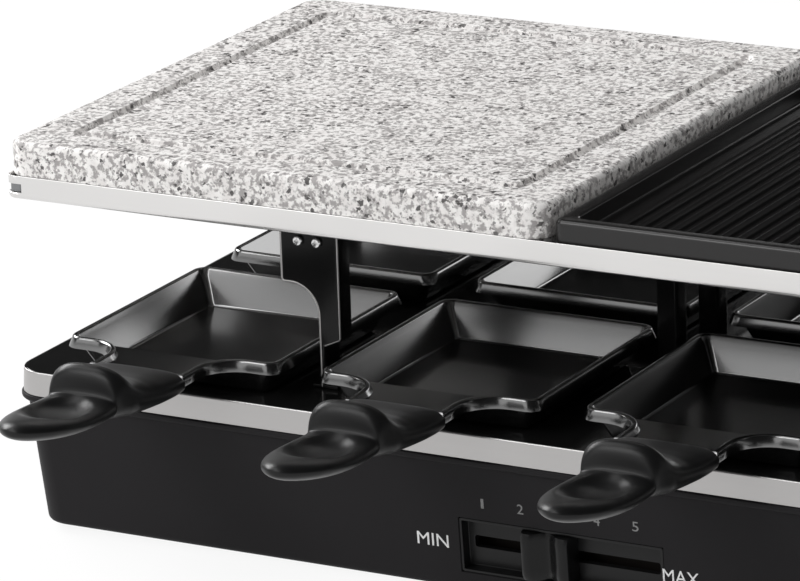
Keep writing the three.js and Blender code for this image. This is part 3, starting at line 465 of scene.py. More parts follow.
class Graph(Nodes):
    """The nodes of one material, round a plain shader."""

    def __init__(self, name: str) -> None:
        """Starts a material with a plain shader.

        Args:
            name: The material's name.
        """
        super().__init__(bpy.data.materials.new(name))
        self.shader = self.add("BsdfPrincipled", {})
        self.output = self.add("OutputMaterial", {"Surface": self.shader.outputs["BSDF"]})
        self.place = self.add("TexCoord", {}).outputs["Object"]

    def set(self, **values: object) -> None:
        """Feeds sockets of the shader.

        Args:
            values: What each is fed, under its name in small letters with underscores.
        """
        sockets = {socket.name.lower().replace(" ", "_"): socket for socket in self.shader.inputs}
        for name, value in values.items():
            self.feed(sockets[name], value)

    def noise(self, scale: float, detail: float = 2.0, roughness: float = 0.5,
              vector: Socket | None = None) -> Socket:
        """Returns a noise value.

        Args:
            scale: Scale of the noise, in one over metres.
            detail: Octaves.
            roughness: Weight of the finer octaves.
            vector: Coordinates, the object's own unless others are given.

        Returns:
            The value's socket.
        """
        return self.add("TexNoise", {"Vector": vector or self.place, "Scale": scale, "Detail": detail,
                                     "Roughness": roughness}).outputs["Fac"]

    def cells(self, scale: float, vector: Socket | None = None) -> bpy.types.Node:
        """Returns the node of a pattern of cells."""
        return self.add("TexVoronoi", {"Vector": vector or self.place, "Scale": scale})

    def warped(self, scale: float, amount: float) -> Socket:
        """Shakes the object's coordinates by a colour noise.

        Args:
            scale: Scale of the noise, in one over metres.
            amount: How far it shakes them, in metres.

        Returns:
            The coordinates' socket.
        """
        noise = self.add("TexNoise", {"Vector": self.place, "Scale": scale, "Detail": 3.0})
        return self.add("VectorMath", {0: noise.outputs["Color"], 1: (amount,) * 3, 2: self.place},
                        operation="MULTIPLY_ADD").outputs["Vector"]

    def ramp(self, value: Socket, *stops: tuple[float, object]) -> Socket:
        """Turns a value into a colour.

        Args:
            value: The value's socket.
            stops: Place and colour, or grey, of each stop.

        Returns:
            The colour's socket.
        """
        node = self.add("ValToRGB", {"Fac": value})
        elements = node.color_ramp.elements
        while len(elements) < len(stops):
            elements.new(0.5)
        for element, (position, colour) in zip(elements, stops):
            element.position = position
            element.color = (*(colour if isinstance(colour, tuple) else (colour,) * 3), 1.0)
        return node.outputs["Color"]

    def mix(self, share: object, first: object, second: object) -> Socket:
        """Mixes two colours by a share and returns the colour's socket."""
        return self.add("Mix", {0: share, 6: first, 7: second}, data_type="RGBA").outputs[2]

    def between(self, value: Socket, low: float, high: float) -> Socket:
        """Maps a value from nought to one onto a range and returns its socket."""
        return self.add("MapRange", {"Value": value, "To Min": low, "To Max": high}).outputs["Result"]

    def bump(self, height: Socket, distance: float, strength: float) -> None:
        """Gives the shader a relief of a depth in metres, of which a share shows."""
        relief = self.add("Bump", {"Strength": strength, "Distance": distance, "Height": height})
        self.set(normal=relief.outputs["Normal"])


@dataclass(frozen=True)
class Finish:
    """A surface finish: its material's name, and the name of a slot, which nothing in the script reads."""

    name: str
    slot: str

    def material(self) -> bpy.types.Material:
        """Finds the finish's material, and builds it the first time.

        Returns:
            The material.
        """
        known = bpy.data.materials.get(self.name)
        if known:
            return known
        graph = Graph(self.name)
        self.lay(graph)
        return graph.owner

    def lay(self, graph: Graph) -> None:
        """Lays the finish's nodes."""
        raise NotImplementedError


@dataclass(frozen=True)
class Grain:
    """One size of dark grains: its scale, how it clusters, and where on its ramp it sets in and ends."""

    scale: float
    spread: float
    full: float
    gone: float
    share: float


@dataclass(frozen=True)
class Granite(Finish):
    """Pale polished stone with grey and near-black grains that lie in loose clusters."""

    pale: Triple = (0.71, 0.685, 0.672)
    white: Triple = (0.82, 0.805, 0.79)
    grey: Triple = (0.30, 0.285, 0.28)
    dark: Triple = (0.05, 0.046, 0.045)
    grains: tuple[Grain, ...] = (Grain(640.0, 0.13, 0.13, 0.18, 0.92), Grain(1250.0, 0.1, 0.12, 0.15, 0.7))

    def lay(self, graph: Graph) -> None:
        """Lays grey patches and two sizes of dark grains over a clouded ground.

        Args:
            graph: The material's nodes.
        """
        shaken = graph.warped(700.0, 0.0016)
        clusters = graph.noise(75.0)
        ground = graph.ramp(graph.noise(240.0, 3.0, 0.6), (0.38, self.pale), (0.62, self.white))
        patches = graph.join(graph.noise(400.0, 4.0, 0.64), graph.between(clusters, -0.09, 0.09))
        share = graph.ramp(patches, (0.0, 0.0), (0.475, 0.0), (0.565, 0.92), (1.0, 0.95))
        body = graph.mix(share, ground, self.grey)
        for grain in self.grains:
            cover = graph.between(clusters, grain.spread, -grain.spread)
            value = graph.join(graph.cells(grain.scale, shaken).outputs["Color"], cover)
            share = graph.ramp(value, (0.0, grain.share), (grain.full, grain.share), (grain.gone, 0.0),
                               (1.0, 0.0))
            body = graph.mix(share, body, self.dark)
        graph.set(base_color=body, roughness=graph.between(patches, 0.4, 0.52), specular_ior_level=0.3)
        graph.bump(graph.noise(1400.0, 3.0, 0.6), 0.00004, 0.6)


@dataclass(frozen=True)
class BrushedSteel(Finish):
    """Steel sheet brushed along its length.

    Attributes:
        colour: Colour of the metal.
        rough: Lowest and highest roughness.
        grain: Scale of the brush lines along x, y and z.
        depth: Depth of the lines in metres.
    """

    colour: Triple = (0.775, 0.765, 0.755)
    rough: Pair = (0.26, 0.38)
    grain: Triple = (6.0, 6.0, 2600.0)
    depth: float = 0.000006

    def lay(self, graph: Graph) -> None:
        """Lays long fine lines into the roughness and the relief, over clouds in the colour.

        Args:
            graph: The material's nodes.
        """
        stretched = graph.add("Mapping", {"Vector": graph.place, "Scale": self.grain}).outputs["Vector"]
        lines = graph.noise(1.0, 4.0, 0.6, stretched)
        cloud = graph.ramp(graph.noise(9.0), (0.35, 0.0), (0.65, 1.0))
        shade = tuple(value * 0.93 for value in self.colour)
        graph.set(base_color=graph.mix(cloud, self.colour, shade), metallic=1.0,
                  roughness=graph.between(lines, *self.rough))
        graph.bump(lines, self.depth, 0.5)


@dataclass(frozen=True)
class Coating(Finish):
    """A coating on metal, or moulded plastic: a ground colour, a sheen and a fine relief.

    Attributes:
        colour: Ground colour.
        rough: Lowest and highest roughness.
        relief: Scale of the relief in one over metres.
        depth: Depth of the relief in metres.
        specular: Specular level of the shader.
        ior: Index of refraction.
    """

    colour: Triple
    rough: Pair
    relief: float
    depth: float = 0.00001
    specular: float = 0.5
    ior: float = 1.5

    def lay(self, graph: Graph) -> None:
        """Lays the relief, and clouds in the colour and the roughness.

        Args:
            graph: The material's nodes.
        """
        cloud = graph.noise(38.0, 3.0)
        lighter = tuple(value * 1.22 + 0.001 for value in self.colour)
        graph.set(base_color=graph.mix(cloud, self.colour, lighter), ior=self.ior,
                  roughness=graph.between(cloud, *self.rough), specular_ior_level=self.specular)
        graph.bump(graph.noise(self.relief), self.depth, 0.7)


@dataclass(frozen=True)
class Fired(Finish):
    """Pale glazed ceramic with a few pores."""

    colour: Triple = (0.78, 0.74, 0.67)

    def lay(self, graph: Graph) -> None:
        """Lays pores and a faint stain.

        Args:
            graph: The material's nodes.
        """
        pores = graph.ramp(graph.cells(700.0).outputs["Distance"], (0.0, 0.0), (0.12, 1.0))
        stain = tuple(0.9 * value for value in self.colour)
        graph.set(base_color=graph.mix(graph.noise(60.0, 3.0), self.colour, stain), roughness=0.42)
        graph.bump(pores, 0.00003, 0.4)


@dataclass(frozen=True)
class Print(Finish):
    """Printed lettering in one ink."""

    colour: Triple = (0.8, 0.8, 0.8)

    def lay(self, graph: Graph) -> None:
        """Lays an ink with a slightly uneven cover.

        Args:
            graph: The material's nodes.
        """
        worn = tuple(0.86 * value for value in self.colour)
        graph.set(base_color=graph.mix(graph.noise(1500.0), self.colour, worn), roughness=0.5)


GRANITE = Granite("granite_polished", "granite")
FRAME_STEEL = BrushedSteel("frame_steel", "stainless")
# The trim's steel is a darker copy of the frame's stainless: painted shade, for the trim lying in shadow
# under the handles.
TRIM_STEEL_SHADED = BrushedSteel("trim_steel", "stainless", (0.48, 0.47, 0.465), (0.3, 0.42))
ZINC = BrushedSteel("zinc_sheet", "zinc_steel", (0.26, 0.265, 0.27), (0.32, 0.5), (500.0,) * 3, 0.00001)
# Pale steel for thin beads on the legs' edges, which paint the highlights there.
EDGE_HIGHLIGHT = BrushedSteel("worn_edge", "zinc_steel", (0.4, 0.39, 0.385), (0.4, 0.5), (700.0,) * 3)
SCREW_STEEL = BrushedSteel("screw_steel", "zinc_steel", (0.72, 0.72, 0.72), (0.2, 0.3), (900.0,) * 3)
TUBE_STEEL = BrushedSteel("tube_steel", "element_steel", (0.2, 0.19, 0.18), (0.4, 0.6), (300.0,) * 3, 0.00002)
PHENOLIC = Coating("brown_phenolic", "ceramic", (0.012, 0.008, 0.006), (0.4, 0.5), 900.0, 0.00002)
NON_STICK = Coating("grill_coating", "non_stick", (0.011, 0.0104, 0.0104), (0.18, 0.26), 1500.0, 0.00003,
                    specular=0.4)
PAN_ENAMEL = Coating("pan_enamel", "pan_coating", (0.002, 0.002, 0.002), (0.17, 0.2), 700.0, ior=2.5)
LEG_ENAMEL = Coating("leg_enamel", "black_enamel", (0.004, 0.004, 0.004), (0.14, 0.2), 500.0, specular=0.18)
DECK_COATING = Coating("gloss_deck", "deck_coating", (0.006, 0.006, 0.006), (0.1, 0.16), 600.0)
SHELL_PLASTIC = Coating("matte_shell", "shell_plastic", (0.011, 0.0103, 0.0112), (0.5, 0.6), 1800.0, 0.00003,
                        specular=0.12)
HANDLE_PLASTIC = Coating("satin_handle", "handle_plastic", (0.006, 0.006, 0.0062), (0.32, 0.38), 2400.0,
                         0.00002, specular=0.24)
# A darker, less glossy copy of the handle plastic: painted shade, for the shaded finger dip of the knob.
KNOB_PLASTIC_SHADED = Coating("knob_plastic", "handle_plastic", (0.004, 0.004, 0.0042), (0.24, 0.32), 2400.0,
                       specular=0.22)
RUBBER = Coating("foot_rubber", "rubber", (0.016, 0.016, 0.016), (0.75, 0.85), 1200.0, 0.00006, specular=0.3)
CERAMIC = Fired("fired_ceramic", "ceramic")
WHITE_PRINT = Print("white_ink", "white_print")
GREY_PRINT = Print("grey_ink", "white_print", (0.2, 0.2, 0.2))


# ---- pieces ----------------------------------------------------------------------------------------------


class Normals(Enum):
    """Whether a mesh's faces are turned outwards anew."""

    KEEP = "keep"
    OUTWARDS = "outwards"


@dataclass
class Piece:
    """A finished mesh on its way to becoming an object.

    Attributes:
        name: The object's name.
        mesh: Its mesh, in millimetres, in place.
        finish: Its finish.
        stands_for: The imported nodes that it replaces.
        body: The moving body that it rides on.
        wall: Thickness that a Solidify modifier gives an open skin, in millimetres.
        subdivisions: Levels of a Subdivision Surface modifier.
        sharp: Angle in degrees above which an edge stays sharp.
        normals: Whether its faces are turned outwards anew.
    """

    name: str
    mesh: BMesh
    finish: Finish
    stands_for: tuple[str, ...] = ()
    body: str = "grill"
    wall: float = 0.0
    subdivisions: int = 0
    sharp: float = 50.0
    normals: Normals = Normals.OUTWARDS

    def shade(self) -> bpy.types.Mesh:
        """Brings the mesh to metres and smooths it but for its sharp edges.

        Returns:
            The finished mesh, with its material.
        """
        mesh = self.mesh
        bmesh.ops.remove_doubles(mesh, verts=mesh.verts, dist=1e-4)
        if self.normals is Normals.OUTWARDS:
            bmesh.ops.recalc_face_normals(mesh, faces=mesh.faces)
        bmesh.ops.scale(mesh, vec=(MM, MM, MM), verts=mesh.verts)
        for face in mesh.faces:
            face.smooth = True
        for edge in mesh.edges:
            edge.smooth = len(edge.link_faces) != 2 or edge.calc_face_angle(0.0) < math.radians(self.sharp)
        data = bpy.data.meshes.new(self.name)
        mesh.to_mesh(data)
        mesh.free()
        data.materials.append(self.finish.material())
        return data

    def build(self) -> None:
        """Makes the object, gives it its modifiers and puts it on its body."""
        data = self.shade()
        shown = bpy.data.objects.new(self.name, data)
        bpy.context.scene.collection.objects.link(shown)
        if self.wall:
            solid = shown.modifiers.new("wall", "SOLIDIFY")
            solid.thickness = self.wall * MM
            solid.offset = -1.0
            solid.use_even_offset = True
        if self.subdivisions:
            smooth = shown.modifiers.new("smooth", "SUBSURF")
            smooth.levels = smooth.render_levels = self.subdivisions
        else:
            shown.modifiers.new("even_normals", "WEIGHTED_NORMAL").keep_sharp = True
        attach(shown, self.body)
        if self.stands_for:
            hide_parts(*self.stands_for)
        log.info("piece %s: %d faces, on %s", self.name, len(data.polygons), self.body)


def dress(finish: Finish, *nodes: str) -> None:
    """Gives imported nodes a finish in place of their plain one.

    Args:
        finish: The finish.
        nodes: Names of the nodes.
    """
    for node in nodes:
        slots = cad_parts[node].material_slots
        for slot in slots:
            slot.material = finish.material()
        if not slots:
            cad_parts[node].data.materials.append(finish.material())
        log.info("node %s: %s", node, finish.name)


CORNERS = {"front_left": (-1, -1), "front_right": (1, -1), "back_left": (-1, 1), "back_right": (1, 1)}


@dataclass
class Casing:
    """The base: a tapered plastic shell with a lip, the steel trim, the deck, and what is under them."""

    whole: Outline = Outline(239.0, 120.0, 14.3)
    foot_z: float = 3.0
    lip_z: float = 57.3
    deck_z: float = 67.0
    step: float = 2.3
    taper: float = 4.2
    corner: float = 12.0
    edge: float = 2.4
    wall: float = 2.2
    lip: float = 0.8
    lip_turn: Pair = (3.0, 1.4)
    lip_round: float = 0.5
    trim: float = 1.0
    trim_lean: float = 0.5
    trim_round: float = 0.7
    gap: float = 0.3
    neck_under: float = 1.6
    deck_sheet: float = 1.2
    deck_round: float = 0.4
    long_face: float = 2000.0
    window_half: float = 43.0
    window_z: Pair = (10.1, 32.7)
    foot_place: Pair = (199.0, 80.0)
    foot_radius: float = 9.0
    bush_place: Pair = (178.0, 24.0)
    bush_radii: Triple = (8.5, 5.7, 3.6)
    bush_grip: float = 2.4
    bush_collar: float = 2.2
    arc_steps: int = 12

    def slope(self) -> float:
        """Returns how far the wall leans out for each millimetre of height."""
        return self.taper / (self.lip_z - self.foot_z)

    def inset_at(self, z: float) -> float:
        """Returns how far the wall stands in from the lip's face at a height."""
        return self.step + (self.lip_z - z) * self.slope()

    def outline_at(self, z: float) -> Outline:
        """Returns the shell's outline at a height."""
        return replace(self.whole.shrunk(self.inset_at(z)), radius=self.corner)

    def front_at(self, z: float) -> float:
        """Returns the front wall's place at a height."""
        return self.inset_at(z) - self.whole.half_y

    def shell(self) -> Piece:
        """Draws the wall, its lip and the neck under the trim, and cuts the window.

        Returns:
            The piece.
        """
        bottom, top = self.foot_z + self.edge, self.lip_z - self.lip_turn[0]
        skin = RoundedSkin(self.outline_at(self.foot_z).shrunk(self.edge), self.foot_z, self.arc_steps)
        skin.arc(self.outline_at(bottom), bottom, Turn.OUT)
        walls = skin.level(self.outline_at(top), top)
        neck = self.lip + self.trim + self.gap
        skin.follow(self.whole, (0.0, self.lip_z - self.lip_turn[1], Turn.OUT),
                    (0.0, self.lip_z - self.lip_round), (self.lip_round, self.lip_z, Turn.UP),
                    (neck, self.lip_z), (neck, self.deck_z - self.neck_under))
        front = [face for face in walls if face.calc_center_median().y < 0 and abs(face.normal.x) < 0.1
                 and face.calc_area() > self.long_face]
        half, (low, high) = self.window_half, self.window_z
        cut_out(skin.mesh, front, {0: (-half, half), 2: (low, high)},
                lambda middle: abs(middle.x) < half and low < middle.z < high)
        return Piece("shell", skin.mesh, SHELL_PLASTIC, ("base_shell",), wall=self.wall, sharp=35.0)

    def band(self) -> Piece:
        """Draws the steel trim round the top of the base.

        Returns:
            The piece.
        """
        outer = self.whole.shrunk(self.lip)
        skin = RoundedSkin(outer.shrunk(self.trim), self.lip_z + self.gap, self.arc_steps)
        lean, fold = self.trim_lean, self.trim_round
        skin.follow(outer, (0.0, self.lip_z + self.gap), (lean, self.deck_z - fold),
                    (lean + fold / 2, self.deck_z, Turn.UP, 3),
                    (self.trim, self.deck_z - self.deck_round, Turn.OUT, 2))
        # The trim's darker steel is painted shade.
        return Piece("trim", skin.meet(), TRIM_STEEL_SHADED, ("trim_band",))

    def deck(self) -> Piece:
        """Draws the black heat-proof top that the pans stand on.

        Returns:
            The piece.
        """
        outer = self.whole.shrunk(self.lip + self.trim + self.gap)
        skin = RoundedSkin(outer, self.deck_z - self.deck_sheet, self.arc_steps)
        skin.follow(outer, (0.0, self.deck_z - self.deck_round), (self.deck_round, self.deck_z, Turn.UP, 2))
        return Piece("deck_top", skin.capped(), DECK_COATING, ("deck",))

    def feet(self) -> list[Piece]:
        """Turns the four rubber feet.

        Returns:
            The pieces.
        """
        radius = self.foot_radius
        foot = spun([(0, 0), (radius - 1.6, 0), (radius - 0.5, 0.45), (radius, 1.4), (radius, 3.0),
                     (radius - 0.5, 3.7), (2.6, 3.7), (2.6, 7.2), (2.0, 8.0), (0, 8.0)], 48)
        pieces = []
        for name, (side, row) in CORNERS.items():
            place = Matrix.Translation((side * self.foot_place[0], row * self.foot_place[1], 0))
            pieces.append(Piece(f"rubber_foot_{name}", copied(foot, place), RUBBER, (f"foot_{name}",),
                                sharp=60.0))
        foot.free()
        return pieces

    def bush(self) -> Piece:
        """Turns the rubber bush in the back wall.

        Returns:
            The piece.
        """
        x, z = self.bush_place
        radius, throat, bore = self.bush_radii
        wall_y = self.whole.half_y - self.inset_at(z)
        lean = radius * self.slope()
        inner, outer = wall_y - self.bush_grip - lean - self.gap, wall_y + lean + self.gap
        low, high = inner - self.bush_collar, outer + self.bush_collar
        ring = spun([(bore, low), (radius - 0.6, low), (radius, low + 0.6), (radius, inner), (throat, inner),
                     (throat, outer), (radius, outer), (radius, high - 0.8), (radius - 0.8, high),
                     (bore + 0.8, high), (bore, high - 0.8), (bore, low)], 40)
        turn = Matrix.Translation((x, 0, z)) @ Matrix.Rotation(-QUARTER, 4, "X")
        return Piece("inlet_bush", moved(ring, turn), RUBBER, ("cord_bush",))

    def build(self) -> None:
        """Builds the base's pieces."""
        for piece in (self.shell(), self.band(), self.deck(), *self.feet(), self.bush()):
            piece.build()
        dress(ZINC, "heat_shield", "bottom_cover", "thermal_fuse")
        dress(SCREW_STEEL, *(f"base_screw_{corner}" for corner in CORNERS))
        dress(PHENOLIC, "power_regulator")
        dress(CERAMIC, "terminal_block")


@dataclass
class ControlPanel:
    """The recess at the front with its slit, the sliding knob and the lettering beside it."""

    casing: Casing
    centre_z: float = 21.4
    half_x: float = 43.0
    half_z: float = 11.3
    depth: float = 5.0
    rim: float = 1.1
    rim_z: float = -0.25
    rim_rounds: Pair = (0.35, 0.3)
    floor_round: float = 0.5
    plate: float = 2.4
    slit: Outline = Outline(38.8, 2.25, 0.9)
    slit_rim: float = 0.5
    slit_round: float = 0.4
    knob_x: float = -5.6
    knob_half: Pair = (10.5, 9.5)
    knob_edge: Pair = (2.4, 1.0)
    knob_proud: float = 3.4
    knob_dip: float = 3.6
    knob_reach: float = 0.66
    knob_grid: tuple[int, int] = (26, 8)
    stem_half: Pair = (4.0, 1.6)
    stem_length: float = 6.4
    stem_edge: float = 0.2
    print_depth: float = 0.12
    print_proud: float = 0.05
    words_z: float = 21.8
    words_height: float = 5.1
    numbers_z: float = 39.6
    numbers_height: float = 3.9
    numbers_pitch: float = 16.0

    def facing(self, x: float, z: float, proud: float = 0.0) -> Matrix:
        """Returns the matrix that lays a flat drawing on the leaning front wall.

        Args:
            x: Where its origin goes along the wall.
            z: Where its origin goes in height.
            proud: How far it stands out of the wall.

        Returns:
            The matrix.
        """
        lean = math.atan(self.casing.slope())
        place = Matrix.Translation((x, self.casing.front_at(z) - proud, z))
        return place @ Matrix.Rotation(QUARTER + lean, 4, "X")

    def bezel(self) -> Piece:
        """Draws the recess: its rim, its walls, its floor and the slit.

        Returns:
            The piece.
        """
        gap, floor = self.casing.gap, -self.depth
        outer, back = Outline(self.half_x - gap, self.half_z - gap, 1.0), floor - self.plate
        skin, (near, far) = RoundedSkin(outer, back, 4), self.rim_rounds
        skin.follow(outer, (0.0, self.rim_z - near), (near, self.rim_z, Turn.UP, 2))
        skin.follow(outer.shrunk(self.rim), (-far, self.rim_z), (0.0, self.rim_z - far, Turn.OUT, 2),
                    (0.0, floor + self.floor_round), (self.floor_round, floor, Turn.UP, 2))
        skin.follow(self.slit, (-self.slit_rim, floor), (0.0, floor - self.slit_round, Turn.OUT, 2),
                    (0.0, back))
        ring = moved(skin.meet(), self.facing(0.0, self.centre_z))
        return Piece("recess", ring, HANDLE_PLASTIC, ("control_bezel",), sharp=35.0)

    def knob(self) -> Piece:
        """Draws the knob's hollowed face on a grid, and its sides back to the slit.

        Returns:
            The piece.
        """
        mesh = bmesh.new()
        columns, rows = self.knob_grid
        bmesh.ops.create_grid(mesh, x_segments=columns, y_segments=rows, size=1.0)
        for corner in mesh.verts:
            out = self.knob_proud
            if abs(corner.co.x) < self.knob_reach:
                out -= self.knob_dip * (0.5 + 0.5 * math.cos(math.pi * corner.co.x / self.knob_reach))
            places = []
            for share, half, edge in zip(corner.co, self.knob_half, self.knob_edge):
                past = max(0.0, abs(share) * half - (half - edge)) / edge
                out -= edge * (1 - math.sqrt(max(0.0, 1 - past ** 2)))
                places.append(share * half)
            corner.co = Vector((*places, out))
        skin = Skin(mesh, [edge for edge in mesh.edges if edge.is_boundary])
        back = self.casing.gap - self.depth
        skin.draw(lambda start: Vector((start.x, start.y, back)))
        bmesh.ops.contextual_create(mesh, geom=skin.loop)
        (half_x, half_z), far = self.stem_half, -self.depth - self.stem_length
        stem = box_mesh((-half_x, -half_z, far), (half_x, half_z, back), self.stem_edge)
        whole = moved(joined([mesh, stem]), self.facing(self.knob_x, self.centre_z))
        # The knob's plastic is darkened as painted shade for its dip.
        return Piece("sliding_knob", whole, KNOB_PLASTIC_SHADED, ("slider_knob",), "slider", sharp=35.0)

    def lettering(self, words: str, centre: Pair, size: Pair, finish: Finish, name: str) -> Piece:
        """Sets a word on the front wall.

        Args:
            words: What it says.
            centre: Middle of the word along the wall and in height.
            size: Length of the word and height of its capitals.
            finish: Its ink.
            name: The piece's name.

        Returns:
            The piece.
        """
        text = bpy.data.curves.new(name, "FONT")
        text.body, text.extrude, text.resolution_u = words, 0.01, 4
        holder = bpy.data.objects.new(name + "_text", text)
        bpy.context.scene.collection.objects.link(holder)
        bpy.context.view_layer.update()
        shape = bpy.data.meshes.new_from_object(holder.evaluated_get(bpy.context.evaluated_depsgraph_get()))
        mesh = bmesh.new()
        mesh.from_mesh(shape)
        bpy.data.objects.remove(holder)
        bpy.data.meshes.remove(shape)
        low, high = (Vector([pick(v.co[axis] for v in mesh.verts) for axis in range(3)])
                     for pick in (min, max))
        bmesh.ops.translate(mesh, vec=-(low + high) / 2, verts=mesh.verts)
        scale = [wanted / own for wanted, own in zip((*size, self.print_depth), high - low)]
        bmesh.ops.scale(mesh, vec=scale, verts=mesh.verts)
        return Piece(name, moved(mesh, self.facing(*centre, self.print_proud)), finish, sharp=30.0)

    def build(self) -> None:
        """Builds the panel's pieces."""
        self.bezel().build()
        self.knob().build()
        dress(HANDLE_PLASTIC, "slide_carriage")
        for words, x, width in (("MIN", -54.3, 13.4), ("MAX", 49.7, 14.8)):
            self.lettering(words, (x, self.words_z), (width, self.words_height), WHITE_PRINT,
                           f"letters_{words.lower()}").build()
        for number, width in enumerate((1.2, 2.6, 2.6, 2.6, 2.6), start=1):
            x = (number - 3) * self.numbers_pitch
            self.lettering(str(number), (x, self.numbers_z), (width, self.numbers_height), GREY_PRINT,
                           f"numeral_{number}").build()


@dataclass
class Supports:
    """The legs with their screws, the centre posts, and the rails and hangers under the plates."""

    leg_x: float = 112.0
    face_y: float = 92.0
    sheet: float = 2.2
    foot_z: float = 67.3
    foot_plate: float = 1.4
    top_z: float = 140.2
    pad_z: float = 108.2
    pad_outer: float = 17.8
    inner: float = 7.5
    stem: float = 1.8
    tongue: float = 2.4
    bend: float = 12.0
    cut_z: float = 84.0
    cut_rise: float = 3.0
    flange_outer: float = 12.0
    flange_inner: float = 9.5
    flange_back: float = 1.3
    flange_edge: float = 0.7
    rim: float = 1.2
    tip: float = 1.6
    foot_half: float = 5.5
    foot_reach: float = 15.0
    foot_edge: float = 0.4
    worn: float = 0.45
    worn_tip: float = 1.4
    worn_bead: float = 0.62
    worn_depth: float = 0.55
    screw_z: float = 125.6
    screw_places: Pair = (1.15, 9.25)
    screw_shaft: Pair = (1.4, -6.0)
    screw_head: tuple[Pair, ...] = (
        (1.4, 0.3), (2.1, 0.3), (2.1, 0.7), (2.0, 1.15), (1.75, 1.55), (1.5, 1.72))
    screw_star: tuple[Pair, ...] = ((1.3, 1.8), (1.15, 1.0))
    star_depth: float = 0.5
    post_half: float = 4.5
    post_wall: float = 1.0
    post_rounds: Pair = (0.5, 1.3)
    post_rim: float = 0.3
    post_foot: float = 3.0
    post_y: float = 18.0
    post_top: float = 113.3

    def leg(self) -> BMesh:
        """Draws one leg for the front right corner, in place but for its x.

        Returns:
            The mesh.
        """
        plate = bmesh.new()
        left, right, front, cut = self.stem - self.tongue, self.stem, -self.face_y, self.cut_z + self.cut_rise
        outline = [(left, self.foot_z), (right, self.foot_z), (right, self.pad_z),
                   (self.pad_outer, self.pad_z), (self.pad_outer, self.top_z), (-self.inner, self.top_z),
                   (-self.inner, cut), (left, self.cut_z)]
        flat_face(plate, [(x, front, z) for x, z in outline])
        for x, radius, steps in ((right, self.bend, 10), (self.pad_outer, self.tip, 4)):
            corner = [v for v in plate.verts if abs(v.co.x - x) < NEAR and abs(v.co.z - self.pad_z) < NEAR]
            round_off(plate, corner, radius, steps)
        behind = only(BMVert, bmesh.ops.extrude_face_region(plate, geom=list(plate.faces))["geom"])
        bmesh.ops.translate(plate, vec=(0, self.sheet, 0), verts=behind)
        rim = [edge for edge in plate.edges if all(abs(v.co.y - front) < NEAR for v in edge.verts)]
        round_off(plate, rim, self.rim, 4)
        outer = box_mesh((right - self.sheet, front + self.flange_back, self.foot_z),
                         (right, front + self.flange_outer, self.pad_z), self.flange_edge)
        inner = box_mesh((-self.inner, front + self.flange_back, cut),
                         (self.sheet - self.inner, front + self.flange_inner, self.top_z), self.flange_edge)
        foot = box_mesh((-self.foot_half, front, self.foot_z),
                        (self.foot_half, front + self.foot_reach, self.foot_z + self.foot_plate),
                        self.foot_edge)
        return joined([plate, outer, inner, foot])

    def worn_edges(self) -> BMesh:
        """Draws painted highlights along one leg's outer edge and the edge of its fold, as thin pale beads.

        Returns:
            The mesh.
        """
        edge, tip = self.pad_outer - self.worn, self.worn_tip
        outer = [(edge, self.top_z)]
        outer += arc_points((edge - tip, self.pad_z + 0.4 + tip), tip, 0.0, -QUARTER, 4)
        outer += arc_points((self.stem + self.bend, self.pad_z - self.bend), self.bend + self.worn,
                            QUARTER, QUARTER, 12)
        outer.append((self.stem - self.worn, self.foot_z + 0.5))
        fold_x, cut = self.worn - self.inner, self.cut_z + self.cut_rise
        fold = [(fold_x, self.top_z - 3.0), (fold_x, cut + 0.8), (fold_x + 0.3, cut + 0.3),
                (self.stem - self.tongue + 0.3, self.cut_z + 0.4)]
        return joined(swept([Vector((x, self.worn_depth - self.face_y, z)) for x, z in points], radius, 8)
                      for points, radius in ((outer, self.worn_bead), (fold, self.worn)))

    def screw(self) -> BMesh:
        """Turns one screw, head up, with a star recess in its domed head.

        Returns:
            The mesh.
        """
        skin, (shaft, end) = round_skin(32, 1.0), self.screw_shaft
        skin.settle(lambda start: Vector((start.x * shaft, start.y * shaft, end)))
        for radius, z in self.screw_head:
            skin.draw(lambda start: Vector((start.x * radius, start.y * radius, z)))
        for radius, z in self.screw_star:

            def place(start: Vector) -> Vector:
                """Puts a point of the circle on a star with four arms."""
                arm = abs(math.cos(2 * math.atan2(start.y, start.x))) ** 3
                reach = radius * (1 - self.star_depth * (1 - arm))
                return Vector((start.x * reach, start.y * reach, z))

            skin.draw(place)
        return skin.capped()

    def post(self) -> BMesh:
        """Draws one square tube with its foot plate, over the origin.

        Returns:
            The mesh.
        """
        half, top = self.post_half, self.post_top
        hollow, rim, (inner, outer) = half - self.post_wall, self.post_rim, self.post_rounds
        bore, side = Outline(hollow, hollow, inner), Outline(half, half, outer)
        tube = RoundedSkin(bore, self.foot_z, 4)
        tube.follow(side, (0.0, self.foot_z), (0.0, top - rim), (rim, top, Turn.UP, 2))
        tube.follow(bore, (0.0, top))
        reach = half + self.post_foot
        plate = box_mesh((-half, -reach, self.foot_z), (half, reach, self.foot_z + self.foot_plate),
                         self.foot_edge)
        return joined([tube.meet(), plate])

    def build(self) -> None:
        """Builds the legs, screws and posts, and dresses the rails and hangers."""
        leg, edges, screw, post = self.leg(), self.worn_edges(), self.screw(), self.post()
        for name, (side, row) in CORNERS.items():
            place = Matrix.Translation((side * self.leg_x, 0, 0)) @ Matrix.Diagonal((side, -row, 1.0, 1.0))
            Piece(f"bracket_{name}", copied(leg, place), LEG_ENAMEL, (f"leg_{name}",), sharp=40.0).build()
